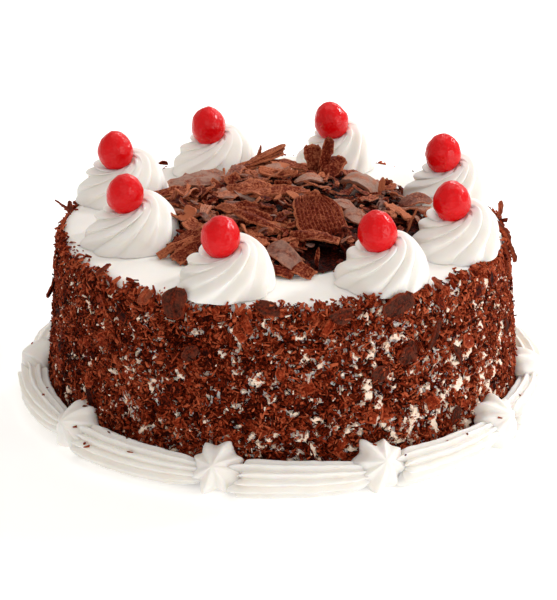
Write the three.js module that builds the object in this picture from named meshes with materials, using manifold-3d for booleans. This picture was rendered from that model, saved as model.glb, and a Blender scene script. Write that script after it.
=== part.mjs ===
// A round black forest cake, coated in whipped cream. Grated chocolate is pressed into its side, a heap of
// chocolate shavings fills the middle of its top, and a ring of piped rosettes round the heap each carry a
// glacé cherry. A piped border of fluted fingers, with a drop star at every joint, runs round its foot.
//
// Millimetres, +Z up. The origin is the centre of the foot, and the front of the cake faces -Y. Bearings are
// in degrees, counter-clockwise from +X as seen from above. Outlines that are turned round an axis are lists
// of [radius, height], from the axis at the foot to the axis at the top, as shares of the piece's own size.

import * as THREE from "three";
import { mergeVertices } from "three/addons/utils/BufferGeometryUtils.js";
import Module from "manifold-3d";

const wasm = await Module();
wasm.setup();
const { Manifold, Mesh: SolidMesh } = wasm;
const { degToRad, lerp, seededRandom, smoothstep } = THREE.MathUtils;

// ---- Driving dimensions ----

const CAKE_HEIGHT = 79;
const RIM_RADIUS = 100.4; // of the cream, where the side meets the rounded rim
const FOOT_RADIUS = 107;
const RIM_ROUND = 4;
const TOUCH_GAP = 0.35; // left between two pieces that touch

const GRATING_LEAST = 0.6; // thickness of the grated chocolate that covers the side
const GRATING_MOST = 2.8;
const GRATING_FROM = 15; // height above the foot where it starts, behind the border
const GRATING_FULL = 24; // height where it reaches its full thickness
const GRATING_COLUMNS = 72; // lumps round the side
const GRATING_ROWS = 8; // lumps up the side
const SHAVING_THICKNESS = 1.4;
const SIDE_SHAVINGS = 52;
const SIDE_SHAVING_LARGEST = 13;
const SIDE_SHAVING_SMALLEST = 7;
const RIM_SHAVINGS = 26;

const CHERRY_WIDTH = 17.2;
const CHERRY_ABOVE = 10.2; // from the cherry's widest ring up to its top
const CHERRY_BELOW = 8.4;
const CHERRY_SINKS = 1.2; // how far its widest ring sits below the cream's height
const CHERRY_SHIFT = 1.6; // off the rosette's middle, away from the high side of its swirl

const ROSETTE_FLUTES = 9;
const ROSETTE_GROOVE = 0.15; // depth of a groove, as a share of the radius
const ROSETTE_TWIST = 150; // degrees that a ridge turns from the foot to the middle
const ROSETTE_LEAN = 0.34; // how much higher the swirl is at its high side than in its middle
const LEAN_BEARING = 50; // of the high side
const ROSETTES = [
  { bearing: 21.6, distance: 81.8, width: 38.6, height: 22.4 },
  { bearing: 72.3, distance: 84.4, width: 37, height: 22.4 },
  { bearing: 115, distance: 80.2, width: 39.6, height: 22.4 },
  { bearing: 155, distance: 84, width: 41.6, height: 22 },
  { bearing: 199.7, distance: 72.2, width: 42, height: 21.8 },
  { bearing: 252.6, distance: 81.6, width: 40.8, height: 21.6 },
  { bearing: 300.2, distance: 82.6, width: 39.4, height: 21.4 },
  { bearing: 336.2, distance: 82.6, width: 40, height: 21.6 },
];

const HEAP_RADIUS = 68; // of the core that the shavings lie on
const HEAP_HEIGHT = 12.5;
const HEAP_COLUMNS = 16;
const HEAP_SHAVINGS = 33;
const HEAP_SHAVING_LONGEST = 28;
const HEAP_SHAVING_SHORTEST = 20;

const FINGER_RADIUS = 7.7;
const FINGER_FLUTES = 7;
const FINGER_GROOVE = 0.13;
const STAR_RADIUS = 12.2;
const STAR_DEPTH = 14; // from its flat base, near the wall, to its tip
const STAR_FLUTES = 8;
const STAR_GROOVE = 0.3;
const STAR_TURN = 12; // degrees that its petals turn towards the tip
const STAR_TILT = 31; // degrees that the tip points above the level
const STAR_STANDS_OFF = 2.2; // the middle of its base, out from the cake's foot
const STAR_SEAT_HEIGHT = 7.4; // the middle of its base, above the floor
const STAR_BEARINGS = [-4.8, 32.1, 69, 105.9, 142.7, 179.6, 217.3, 256, 290.8, 325];

const GOLDEN_ANGLE = 137.508; // degrees between pieces that are spread over a round top
const EVEN_STEPS = { up: 0.75488, round: 0.56984 }; // between pieces that are spread over the side

// ---- Outlines ----

const ROSETTE_OUTLINE = [
  [0, 0],
  [0.86, 0],
  [0.98, 0.2],
  [0.98, 0.44],
  [0.82, 0.66],
  [0.6, 0.84],
  [0.34, 0.94],
  [0, 0.92],
];

const FINGER_OUTLINE = [
  [0, 0],
  [0.74, 0.01],
  [1, 0.1],
  [0.97, 0.48],
  [0.68, 0.92],
  [0, 1],
];

const STAR_OUTLINE = [
  [0, 0],
  [0.9, 0],
  [1, 0.34],
  [0.6, 0.76],
  [0, 1],
];

// ---- Materials ----

const cream = new THREE.MeshStandardMaterial({ color: "#f4f0ea", roughness: 0.5, metalness: 0 });
const gratedChocolate = new THREE.MeshStandardMaterial({ color: "#5e2a1a", roughness: 0.75, metalness: 0 });
const shavedChocolate = new THREE.MeshStandardMaterial({ color: "#55271a", roughness: 0.55, metalness: 0 });
const cherrySkin = new THREE.MeshStandardMaterial({ color: "#d9121c", roughness: 0.15, metalness: 0 });

// ---- Helpers ----

const between = (low, high) => lerp(low, high, seededRandom());

const scaled = (outline, radius, height) => outline.map(([r, h]) => [r * radius, h * height]);

const polar = (bearing, distance, height = 0) =>
  new THREE.Vector3(
    distance * Math.cos(degToRad(bearing)),
    distance * Math.sin(degToRad(bearing)),
    height,
  );

// Moves every vertex of a geometry: move(point, uv) changes the point in place.
function reshape(geometry, move) {
  const { position, uv } = geometry.attributes;
  const point = new THREE.Vector3();
  const at = new THREE.Vector2();
  for (let i = 0; i < position.count; i++) {
    point.fromBufferAttribute(position, i);
    at.fromBufferAttribute(uv, i);
    move(point, at);
    position.setXYZ(i, point.x, point.y, point.z);
  }
  return geometry;
}

// A random number for every vertex of a turned form, the same on both sides of its seam.
function unevenness(columns, low, high) {
  const drawn = new Map();
  return (uv) => {
    const column = Math.round(uv.x * columns) % columns;
    const key = `${column} ${uv.y.toFixed(4)}`;
    if (!drawn.has(key)) drawn.set(key, between(low, high));
    return drawn.get(key);
  };
}

// A closed geometry as a solid for joining and cutting.
function solidOf(geometry) {
  const bare = new THREE.BufferGeometry();
  bare.setAttribute("position", geometry.getAttribute("position").clone());
  if (geometry.index) bare.setIndex(geometry.index.clone());
  const merged = mergeVertices(bare, 1e-3);
  return new Manifold(
    new SolidMesh({
      numProp: 3,
      vertProperties: merged.attributes.position.array,
      triVerts: new Uint32Array(merged.index.array),
    }),
  );
}

function geometryOf(solid) {
  const { numProp, numVert, vertProperties, triVerts } = solid.getMesh();
  const positions = new Float32Array(numVert * 3);
  for (let i = 0; i < numVert; i++) {
    positions.set(vertProperties.subarray(i * numProp, i * numProp + 3), i * 3);
  }
  return new THREE.BufferGeometry()
    .setAttribute("position", new THREE.BufferAttribute(positions, 3))
    .setIndex(new THREE.BufferAttribute(new Uint32Array(triVerts), 1));
}

// The largest body of a solid, without the scraps that cutting leaves beside it.
const mainBody = (solid) =>
  solid.decompose().reduce((a, b) => (a.volume() > b.volume() ? a : b));

function addNode(group, name, solid, material) {
  const mesh = new THREE.Mesh(geometryOf(solid), material);
  mesh.name = name;
  group.add(mesh);
}

// A solid of revolution about +Z.
const turned = (outline, columns) =>
  new THREE.LatheGeometry(
    outline.map(([radius, height]) => new THREE.Vector2(radius, height)),
    columns,
  ).rotateX(Math.PI / 2);

// Cream out of a star nozzle: a turned form with ridges and grooves by turns. The groove is its depth as a
// share of the radius, and twist(rise) is how far the ridges turn, in degrees, as rise goes from 0 to 1.
function piped(outline, flutes, groove, twist) {
  const axis = new THREE.Vector3(0, 0, 1);
  return reshape(turned(outline, 2 * flutes), (point, uv) => {
    const inGroove = Math.round(uv.x * 2 * flutes) % 2;
    const reach = 1 - groove * inGroove;
    point.set(point.x * reach, point.y * reach, point.z);
    point.applyAxisAngle(axis, degToRad(twist(uv.y)));
  });
}

// A flat piece of chocolate with a broken edge of five corners, in the XY plane.
function brokenPlate(length, width) {
  const corners = 5;
  const outline = [];
  for (let i = 0; i < corners; i++) {
    const turn = ((i + between(-0.25, 0.25)) / corners) * 2 * Math.PI;
    const reach = between(0.36, 0.54);
    outline.push(new THREE.Vector2(length * reach * Math.cos(turn), width * reach * Math.sin(turn)));
  }
  const plate = new THREE.ExtrudeGeometry(new THREE.Shape(outline), {
    depth: SHAVING_THICKNESS,
    bevelEnabled: false,
  });
  return plate.translate(0, 0, -SHAVING_THICKNESS / 2);
}

// Whether a piece that reaches so far from a point on the cake's top stays clear of every rosette.
const clearOfRosettes = (point, reach) =>
  ROSETTES.every(({ bearing, distance, width }) => {
    const middle = polar(bearing, distance);
    return Math.hypot(point.x - middle.x, point.y - middle.y) > width / 2 + reach;
  });

// ---- The cake ----

const WALL_TOP = CAKE_HEIGHT - RIM_ROUND;

const wallRadius = (height) => lerp(FOOT_RADIUS, RIM_RADIUS, Math.min(1, height / WALL_TOP));

// The cream coat, with the grated chocolate that covers its side as relief.
function coat() {
  const outline = [[0, 0], [FOOT_RADIUS, 0]];
  for (let row = 0; row < GRATING_ROWS; row++) {
    const height = lerp(GRATING_FROM, WALL_TOP, row / (GRATING_ROWS - 1));
    outline.push([wallRadius(height), height]);
  }
  for (const turn of [45, 90]) {
    const inward = RIM_ROUND * (1 - Math.cos(degToRad(turn)));
    outline.push([RIM_RADIUS - inward, WALL_TOP + RIM_ROUND * Math.sin(degToRad(turn))]);
  }
  outline.push([0, CAKE_HEIGHT]);
  const thickness = unevenness(GRATING_COLUMNS, GRATING_LEAST, GRATING_MOST);
  return reshape(turned(outline, GRATING_COLUMNS), (point, uv) => {
    const share = point.z > WALL_TOP ? 0 : smoothstep(point.z, GRATING_FROM, GRATING_FULL);
    if (!share) return;
    const reach = 1 + (share * thickness(uv)) / Math.hypot(point.x, point.y);
    point.set(point.x * reach, point.y * reach, point.z);
  });
}

// Shavings pressed flat into the side, the largest first, spread evenly and turned at random.
function sideShavings() {
  return Array.from({ length: SIDE_SHAVINGS }, (_, i) => {
    const size = lerp(SIDE_SHAVING_LARGEST, SIDE_SHAVING_SMALLEST, Math.sqrt(i / SIDE_SHAVINGS));
    const lowest = GRATING_FULL + SIDE_SHAVING_LARGEST / 2;
    const height = lerp(lowest, CAKE_HEIGHT - SIDE_SHAVING_SMALLEST, (i * EVEN_STEPS.up) % 1);
    const distance = wallRadius(height) + (GRATING_LEAST + GRATING_MOST + SHAVING_THICKNESS) / 2;
    const plate = brokenPlate(size, size * between(0.45, 0.75)).rotateZ(between(0, Math.PI));
    plate.rotateX(between(-0.2, 0.2)).rotateY(Math.PI / 2 + between(-0.22, 0.22));
    plate.translate(distance, 0, height).rotateZ(2 * Math.PI * i * EVEN_STEPS.round);
    return solidOf(plate);
  });
}

// Shavings that stand up round the rim, where no rosette is.
function rimShavings() {
  const standing = [];
  for (let i = 0; i < RIM_SHAVINGS; i++) {
    const bearing = (i + between(-0.3, 0.3)) * (360 / RIM_SHAVINGS);
    const size = between(6, 10.5);
    const plate = brokenPlate(size, size * between(0.5, 0.8));
    plate.rotateY(Math.PI / 2 - between(0.05, 0.5)).rotateX(between(-0.5, 0.5));
    plate.translate(RIM_RADIUS - 0.6, 0, CAKE_HEIGHT - between(1.5, 3)).rotateZ(degToRad(bearing));
    if (clearOfRosettes(polar(bearing, RIM_RADIUS), size / 2)) standing.push(solidOf(plate));
  }
  return standing;
}

// ---- Rosettes and cherries ----

function rosette({ bearing, distance, width, height }) {
  const outline = scaled(ROSETTE_OUTLINE, width / 2, height);
  const twist = (rise) => ROSETTE_TWIST * smoothstep(rise, 0.1, 0.95);
  const high = polar(LEAN_BEARING, ROSETTE_LEAN / (width / 2));
  const foot = polar(bearing, distance, CAKE_HEIGHT + TOUCH_GAP);
  return reshape(piped(outline, ROSETTE_FLUTES, ROSETTE_GROOVE, twist), (point) => {
    point.z *= 1 + point.x * high.x + point.y * high.y;
    point.add(foot);
  });
}

// An egg-shaped cherry, grown on every side by a margin.
function cherry({ bearing, distance, height }, margin = 0) {
  const seat = polar(bearing, distance, CAKE_HEIGHT + height - CHERRY_SINKS);
  const half = CHERRY_WIDTH / 2 + margin;
  return reshape(new THREE.SphereGeometry(1, 11, 6).rotateX(Math.PI / 2), (point) => {
    const rise = margin + (point.z > 0 ? CHERRY_ABOVE : CHERRY_BELOW);
    point.set(point.x * half - CHERRY_SHIFT, point.y * half, point.z * rise).add(seat);
  });
}

// The room round every rosette that the heap stays out of.
const rosetteRoom = ({ bearing, distance, width }) => {
  const radius = width / 2 + TOUCH_GAP;
  const column = new THREE.CylinderGeometry(radius, radius, CAKE_HEIGHT, 16).rotateX(Math.PI / 2);
  const middle = polar(bearing, distance, CAKE_HEIGHT);
  return solidOf(column.translate(middle.x, middle.y, middle.z));
};

// ---- The heap of shavings ----

const heapHeight = (distance) => HEAP_HEIGHT * (1 - (distance / HEAP_RADIUS) ** 4);

function heapCore() {
  const lowest = 1.5;
  const outline = [[0, 0], [HEAP_RADIUS, 0]];
  for (const share of [1, 0.85, 0.5]) {
    outline.push([share * HEAP_RADIUS, Math.max(lowest, heapHeight(share * HEAP_RADIUS))]);
  }
  outline.push([0, HEAP_HEIGHT]);
  const bump = unevenness(HEAP_COLUMNS, -1.5, 1.5);
  return reshape(turned(outline, HEAP_COLUMNS), (point, uv) => {
    if (point.z > 0 && uv.y < 1) point.z = Math.max(lowest, point.z + bump(uv));
    point.z += CAKE_HEIGHT + TOUCH_GAP;
  });
}

// A curled shaving: a band that is bent across its width, with slanted and tapered ends, on the XY plane.
function curledShaving(length, width, bend) {
  const radius = width / bend;
  const start = (Math.PI + bend) / 2;
  const end = (Math.PI - bend) / 2;
  const arc = new THREE.Shape()
    .absarc(0, -radius, radius, start, end, true)
    .absarc(0, -radius, radius - SHAVING_THICKNESS, end, start, false);
  const band = new THREE.ExtrudeGeometry(arc, { depth: length, bevelEnabled: false, curveSegments: 2 });
  const slant = between(-0.5, 0.5);
  const taper = between(0.5, 1);
  const shaped = reshape(band.translate(0, 0, -length / 2), (point) => {
    point.x *= lerp(1, taper, point.z / length + 0.5);
    point.z += slant * point.x;
  });
  return shaped.rotateX(Math.PI / 2);
}

// The shavings that lie on the core, each moved inwards until it is clear of the rosettes.
function heapShavings() {
  return Array.from({ length: HEAP_SHAVINGS }, (_, i) => {
    const size = between(HEAP_SHAVING_SHORTEST, HEAP_SHAVING_LONGEST);
    const bearing = i * GOLDEN_ANGLE;
    let distance = HEAP_RADIUS * Math.sqrt((i + 0.5) / HEAP_SHAVINGS);
    while (!clearOfRosettes(polar(bearing, distance), size / 3)) distance -= 2;
    const shaving = curledShaving(size, size * between(0.5, 0.7), between(0.5, 1.4));
    shaving.rotateX(between(-0.3, 0.3)).rotateY(between(-0.3, 0.3)).rotateZ(between(0, Math.PI));
    const lift = Math.max(3.2, heapHeight(distance) + between(0.6, 2.6));
    const place = polar(bearing, distance, CAKE_HEIGHT + lift);
    return solidOf(shaving.translate(place.x, place.y, place.z));
  });
}

// The cake below the heap, raised by the gap that is left between them.
const topUnderHeap = () =>
  new THREE.CylinderGeometry(RIM_RADIUS, RIM_RADIUS, CAKE_HEIGHT, 24)
    .rotateX(Math.PI / 2)
    .translate(0, 0, CAKE_HEIGHT / 2 + TOUCH_GAP);

// ---- The border ----

const FINGER_DISTANCE = FOOT_RADIUS + FINGER_RADIUS + TOUCH_GAP;

// One fluted finger, piped along the foot from one star to the next: blunt where it starts beside the first
// star, and drawn out thin where the next one covers its end.
function finger(from, to) {
  const start = from + 6;
  const end = to - 1.5;
  const outline = scaled(FINGER_OUTLINE, FINGER_RADIUS, 1);
  return reshape(piped(outline, FINGER_FLUTES, FINGER_GROOVE, () => 90), (point) => {
    const height = Math.max(0, FINGER_RADIUS * 0.94 + point.y);
    point.copy(polar(lerp(start, end, point.z), FINGER_DISTANCE - point.x, height));
  });
}

// A star dropped against the wall, with its tip out from the cake and a little up, grown by a margin. Its
// wall side is cut to the tangent of the foot.
function star(bearing, margin = 0) {
  const outline = scaled(STAR_OUTLINE, STAR_RADIUS + margin, STAR_DEPTH + margin);
  const drop = piped(outline, STAR_FLUTES, STAR_GROOVE, (rise) => STAR_TURN * rise);
  drop.rotateY(degToRad(90 - STAR_TILT));
  drop.translate(FOOT_RADIUS + STAR_STANDS_OFF, 0, STAR_SEAT_HEIGHT).rotateZ(degToRad(bearing));
  const onFloor = reshape(drop, (point) => {
    point.z = Math.max(0, point.z);
  });
  return solidOf(onFloor).trimByPlane(polar(bearing, 1).toArray(), FOOT_RADIUS + TOUCH_GAP);
}

// ---- Assembly ----

seededRandom(7);
const cake = new THREE.Group();

const coated = Manifold.union([solidOf(coat()), ...sideShavings(), ...rimShavings()]);
addNode(cake, "cake", mainBody(coated), gratedChocolate);

ROSETTES.forEach((place, i) => {
  const seat = solidOf(cherry(place, TOUCH_GAP));
  addNode(cake, `rosette_${i + 1}`, solidOf(rosette(place)).subtract(seat), cream);
  addNode(cake, `cherry_${i + 1}`, solidOf(cherry(place)), cherrySkin);
});

const neighbours = Manifold.union([...ROSETTES.map(rosetteRoom), solidOf(topUnderHeap())]);
const heap = Manifold.union([solidOf(heapCore()), ...heapShavings()]).subtract(neighbours);
addNode(cake, "shaving_heap", mainBody(heap), shavedChocolate);

STAR_BEARINGS.forEach((bearing, i) => {
  const next = STAR_BEARINGS[i + 1] ?? STAR_BEARINGS[0] + 360;
  const stars = Manifold.union([star(bearing, TOUCH_GAP), star(next, TOUCH_GAP)]);
  addNode(cake, `finger_${i + 1}`, mainBody(solidOf(finger(bearing, next)).subtract(stars)), cream);
  addNode(cake, `star_${i + 1}`, star(bearing), cream);
});

export default cake;
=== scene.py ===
"""A round black forest cake: cream coat, grated side, heap of shavings, rosettes, cherries and piped border.

Metres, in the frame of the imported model: +Z up, the origin at the centre of the cake's foot, and the front of
the cake facing -Y. Bearings are in degrees, counter-clockwise from +X as seen from above.
"""

import logging
import math
from collections.abc import Callable, Iterator, Sequence
from contextlib import contextmanager
from dataclasses import astuple, dataclass, field
from enum import Enum
from itertools import pairwise, starmap
from typing import ClassVar

import bmesh
import bpy
import numpy as np
from bpy.types import Material, Mesh, Node, NodeTree, Object
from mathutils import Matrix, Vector


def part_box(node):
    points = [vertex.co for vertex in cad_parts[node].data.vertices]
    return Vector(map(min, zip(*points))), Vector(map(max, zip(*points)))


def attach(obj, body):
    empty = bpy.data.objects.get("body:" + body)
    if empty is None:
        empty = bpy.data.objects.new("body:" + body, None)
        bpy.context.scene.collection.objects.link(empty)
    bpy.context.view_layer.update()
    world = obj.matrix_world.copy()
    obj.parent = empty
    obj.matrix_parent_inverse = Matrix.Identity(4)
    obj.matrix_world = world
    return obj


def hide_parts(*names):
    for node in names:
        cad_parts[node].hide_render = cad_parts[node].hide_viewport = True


MM = 0.001
LOWEST = 0.2 * MM  # no grating or fleck on the side reaches lower
log = logging.getLogger("cake")
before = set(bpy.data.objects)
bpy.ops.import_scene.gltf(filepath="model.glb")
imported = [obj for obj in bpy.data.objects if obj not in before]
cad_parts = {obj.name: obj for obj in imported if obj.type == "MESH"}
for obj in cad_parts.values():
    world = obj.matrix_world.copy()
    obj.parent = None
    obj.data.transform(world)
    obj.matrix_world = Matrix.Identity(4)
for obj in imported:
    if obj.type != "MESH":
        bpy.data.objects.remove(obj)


class Slot(Enum):
    """The record's material slots."""

    GRATED = "grated_chocolate"
    SHAVED = "shaved_chocolate"
    CREAM = "whipped_cream"
    CHERRY = "glace_cherry"


# ---- Finishes ----


def linear(code: str) -> tuple[float, float, float, float]:
    """Turns an sRGB hex colour to linear.

    Args:
        code: The colour, such as "#F4F0EA".

    Returns:
        Red, green, blue and alpha, from 0 to 1.
    """
    parts = [int(code[i : i + 2], 16) / 255 for i in (1, 3, 5)]
    red, green, blue = (p / 12.92 if p <= 0.04045 else ((p + 0.055) / 1.055) ** 2.4 for p in parts)
    return red, green, blue, 1.0


def add_node(tree: NodeTree, kind: str, values: dict[str | int, object], **settings: object) -> Node:
    """Adds a shader node with its settings and links.

    Args:
        tree: The material's node tree.
        kind: The node's type, without "ShaderNode".
        values: For an input's name or number, its value or the output that is linked to it.
        settings: The node's own properties.

    Returns:
        The new node.
    """
    node = tree.nodes.new("ShaderNode" + kind)
    for name, value in settings.items():
        setattr(node, name, value)
    for name, value in values.items():
        if isinstance(value, bpy.types.NodeSocket):
            tree.links.new(value, node.inputs[name])
        else:
            node.inputs[name].default_value = value
    return node


def blank_material(name: str) -> tuple[Material, NodeTree]:
    """Makes a material with no nodes.

    Args:
        name: The material's name.

    Returns:
        The material and its node tree.
    """
    material = bpy.data.materials.new(name)
    material.use_nodes = True
    material.node_tree.nodes.clear()
    return material, material.node_tree


@dataclass(frozen=True)
class WhippedCream:
    """Whipped dairy cream: near-white and matt, light passes a few millimetres in, and air leaves tiny pits.

    Attributes:
        name: The material's name.
        colour: Of most of it.
        hollow: Of the patches that are a little warmer.
        roughness: Matt, with a faint satin.
        scatter_mm: How far light passes in.
        patch_mm: Size of the warmer patches.
        pit_mm: Size of a pit. Real ones are about 0.2 mm, and are drawn coarser, because they wouldn't show.
        pit_depth_mm: Depth of a pit.
    """

    name: str = "whipped cream"
    colour: str = "#FAF8F4"
    hollow: str = "#F3EEE7"
    roughness: float = 0.5
    scatter_mm: float = 3.0
    patch_mm: float = 14.0
    pit_mm: float = 0.9
    pit_depth_mm: float = 0.10

    def make(self) -> Material:
        """Builds the material: the cream is a little warmer in broad soft patches, over fine pits.

        Returns:
            The material.
        """
        material, tree = blank_material(self.name)
        place = add_node(tree, "TexCoord", {}).outputs["Object"]
        patches = add_node(tree, "TexNoise", {"Vector": place, "Scale": 1 / MM / self.patch_mm, "Detail": 2})
        mixed = {"Factor": patches.outputs["Fac"], 6: linear(self.colour), 7: linear(self.hollow)}
        colour = add_node(tree, "Mix", mixed, data_type="RGBA")
        pits = add_node(tree, "TexNoise", {"Vector": place, "Scale": 1 / (self.pit_mm * MM), "Detail": 3.0})
        relief = {"Height": pits.outputs["Fac"], "Strength": 0.5, "Distance": self.pit_depth_mm * MM}
        bump = add_node(tree, "Bump", relief)
        look = {
            "Base Color": colour.outputs[2],
            "Roughness": self.roughness,
            "IOR": 1.4,
            "Subsurface Weight": 0.55,
            "Subsurface Radius": (1.0, 0.8, 0.6),
            "Subsurface Scale": self.scatter_mm * MM,
            "Normal": bump.outputs["Normal"],
        }
        shader = add_node(tree, "BsdfPrincipled", look)
        add_node(tree, "OutputMaterial", {"Surface": shader.outputs[0]})
        return material


@dataclass(frozen=True)
class Chocolate:
    """Dark chocolate: a broken face is rough and reddish, and a shaved outer face is satin, with a painted grey
    sheen.

    Each piece has its own tone, in the mesh attribute "tone", and its own place in the pattern, in mm, in
    "grain_place". The attribute "outer" holds how much painted grey sheen lies on the face that the blade left
    smooth.

    Attributes:
        name: The material's name.
        deep: Colour of the darkest tone.
        middle: Colour of the middle tone.
        light: Colour of the lightest tone.
        painted_sheen: Colour of the painted greyish sheen on an outer face.
        painted_sheen_share: How much of an outer face has that painted sheen.
        ridge_mm: Between blade marks: really about 0.3 mm, and drawn coarser, so that they show.
        grain_mm: Of the grain on a broken face: really under 0.3 mm, and drawn coarser, so that it shows.
        mottling: How far marks and grain lighten and darken the tone.
        roughness: Of the surface.
        gloss: How strongly it reflects.
        relief_mm: Depth of marks and grain.
        marking: How strong the marks are beside the grain.
        patches: Patches of painted sheen in each mm.
    """

    name: str
    deep: str
    middle: str
    light: str
    painted_sheen: str
    painted_sheen_share: float
    ridge_mm: float = 0.6
    grain_mm: float = 1.1
    mottling: float = 0.3
    roughness: float = 0.5
    gloss: float = 0.2
    relief_mm: float = 0.6
    marking: float = 0.5
    patches: float = 0.22

    def make(self) -> Material:
        """Builds the material: tone and mottling in the colour, and blade marks along the piece as relief.

        Returns:
            The material.
        """
        material, tree = blank_material(self.name)
        tone = add_node(tree, "Attribute", {}, attribute_name="tone").outputs["Fac"]
        outer = add_node(tree, "Attribute", {}, attribute_name="outer").outputs["Fac"]
        grain = add_node(tree, "Attribute", {}, attribute_name="grain_place").outputs["Vector"]
        fine = {"Vector": grain, "Scale": 1 / self.grain_mm, "Detail": 4, "Roughness": 0.7}
        specks = add_node(tree, "TexNoise", fine)
        stretched = add_node(tree, "Mapping", {"Vector": grain, "Scale": (0.15, 1.0, 1.0)}).outputs[0]
        long = {"Vector": stretched, "Scale": 1 / self.ridge_mm, "Detail": 3, "Roughness": 0.6}
        marks = add_node(tree, "TexNoise", long)
        both = {0: marks.outputs["Fac"], 1: self.marking, 2: specks.outputs["Fac"]}
        relief = add_node(tree, "Math", both, operation="MULTIPLY_ADD")
        mean = 0.5 + 0.5 * self.marking  # the middle of what both noises add up to
        spread = {"Value": relief.outputs[0], "From Min": mean - 0.22, "From Max": mean + 0.22}
        limits = {"To Min": -self.mottling, "To Max": self.mottling}
        swing = add_node(tree, "MapRange", spread | limits)
        shade = add_node(tree, "Math", {0: tone, 1: swing.outputs[0]}, operation="ADD", use_clamp=True)
        ramp = add_node(tree, "ValToRGB", {"Fac": shade.outputs[0]})
        stops = ramp.color_ramp.elements
        stops.new(0.5)
        for stop, at, code in zip(stops, (0.05, 0.5, 0.95), (self.deep, self.middle, self.light)):
            stop.position = at
            stop.color = linear(code)
        # Painted sheen: in soft patches, the outer face's colour is mixed towards the grey sheen colour.
        sheen_patches = add_node(tree, "TexNoise", {"Vector": grain, "Scale": self.patches, "Detail": 3})
        share = {"Value": sheen_patches.outputs["Fac"], "From Min": 0.3, "From Max": 0.56, "To Max": self.painted_sheen_share}
        grey = add_node(tree, "MapRange", share)
        sheen = add_node(tree, "Math", {0: grey.outputs[0], 1: outer}, operation="MULTIPLY")
        mixed = {"Factor": sheen.outputs[0], 6: ramp.outputs["Color"], 7: linear(self.painted_sheen)}
        colour = add_node(tree, "Mix", mixed, data_type="RGBA")
        raised = {"Height": relief.outputs[0], "Strength": 1.0, "Distance": self.relief_mm * MM}
        bump = add_node(tree, "Bump", raised)
        look = {
            "Base Color": colour.outputs[2],
            "Roughness": self.roughness,
            "IOR": 1.45,
            "Specular IOR Level": self.gloss,
            "Normal": bump.outputs["Normal"],
        }
        shader = add_node(tree, "BsdfPrincipled", look)
        add_node(tree, "OutputMaterial", {"Surface": shader.outputs[0]})
        return material


@dataclass(frozen=True)
class GlaceCherry:
    """A cherry candied in sugar syrup: bright red flesh that light enters, under a thin wet glaze.

    Attributes:
        name: The material's name.
        colour: Of the flesh.
        deep: Of its darker patches.
        roughness: Of the flesh; the glaze is much smoother.
        patch_mm: Size of the darker patches.
        wrinkle_mm: Between wrinkles of the skin.
        wrinkle_depth_mm: Their depth.
    """

    name: str = "glace cherry skin"
    colour: str = "#E6020D"
    deep: str = "#D00008"
    roughness: float = 0.34
    patch_mm: float = 6.0
    wrinkle_mm: float = 1.3
    wrinkle_depth_mm: float = 0.4

    def make(self) -> Material:
        """Builds the material: flesh with darker patches, small wrinkles, and a clear coat of syrup.

        Returns:
            The material.
        """
        material, tree = blank_material(self.name)
        place = add_node(tree, "TexCoord", {}).outputs["Object"]
        patches = add_node(tree, "TexNoise", {"Vector": place, "Scale": 1 / MM / self.patch_mm, "Detail": 3})
        mixed = {"Factor": patches.outputs["Fac"], 6: linear(self.colour), 7: linear(self.deep)}
        colour = add_node(tree, "Mix", mixed, data_type="RGBA")
        fine = {"Vector": place, "Scale": 1 / MM / self.wrinkle_mm, "Detail": 2}
        wrinkles = add_node(tree, "TexNoise", fine)
        relief = {"Height": wrinkles.outputs["Fac"], "Strength": 0.85, "Distance": self.wrinkle_depth_mm * MM}
        bump = add_node(tree, "Bump", relief)
        look = {
            "Base Color": colour.outputs[2],
            "Roughness": self.roughness,
            "IOR": 1.45,
            "Specular IOR Level": 0.1,
            "Subsurface Weight": 0.2,
            "Subsurface Radius": (1.0, 0.1, 0.08),
            "Subsurface Scale": 2 * MM,
            "Coat Weight": 0.4,
            "Coat Roughness": 0.05,
            "Normal": bump.outputs["Normal"],
            "Coat Normal": bump.outputs["Normal"],
        }
        shader = add_node(tree, "BsdfPrincipled", look)
        add_node(tree, "OutputMaterial", {"Surface": shader.outputs[0]})
        return material


# Thin cream is pinker: partly a stain of chocolate, partly painted light bounced off the chocolate around it.
PRESSED_CREAM = WhippedCream("whipped cream, pressed out thin", "#FFF1E2", "#FFD6BC", scatter_mm=0.4)
# Dull broken faces with grain in them: only the flakes that stand out have a smooth face, with a dark painted
# sheen.
GRATED_CHOCOLATE = Chocolate(
    name="grated dark chocolate",
    deep="#220300",
    middle="#86290F",
    light="#C05E3C",
    painted_sheen="#54372C",
    painted_sheen_share=0.7,
    ridge_mm=1.0,
    grain_mm=1.1,
    mottling=0.36,
    roughness=0.6,
    gloss=0.05,
    relief_mm=0.8,
)
# Smoother, with a painted pale grey sheen where the blade ran, whose marks are fainter than the grain.
SHAVED_CHOCOLATE = Chocolate(
    name="shaved dark chocolate",
    deep="#130100",
    middle="#6E1F0D",
    light="#C47350",
    painted_sheen="#B09082",
    painted_sheen_share=0.8,
    ridge_mm=1.2,
    grain_mm=1.0,
    mottling=0.4,
    gloss=0.07,
    relief_mm=0.9,
    marking=0.2,
)


@dataclass(frozen=True)
class LightTable:
    """Matt white translucent acrylic, as on a product table: a little light comes through from below."""

    name: str = "white translucent acrylic"
    colour: str = "#FBFBFA"
    glow: float = 0.33

    def make(self) -> Material:
        """Builds the material, which is plain on purpose.

        Returns:
            The material.
        """
        material, tree = blank_material(self.name)
        look = {
            "Base Color": linear(self.colour),
            "Roughness": 0.9,
            "Emission Color": linear("#FFFFFF"),
            "Emission Strength": self.glow,
        }
        shader = add_node(tree, "BsdfPrincipled", look)
        add_node(tree, "OutputMaterial", {"Surface": shader.outputs[0]})
        return material


# ---- Tools of the bench ----


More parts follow.
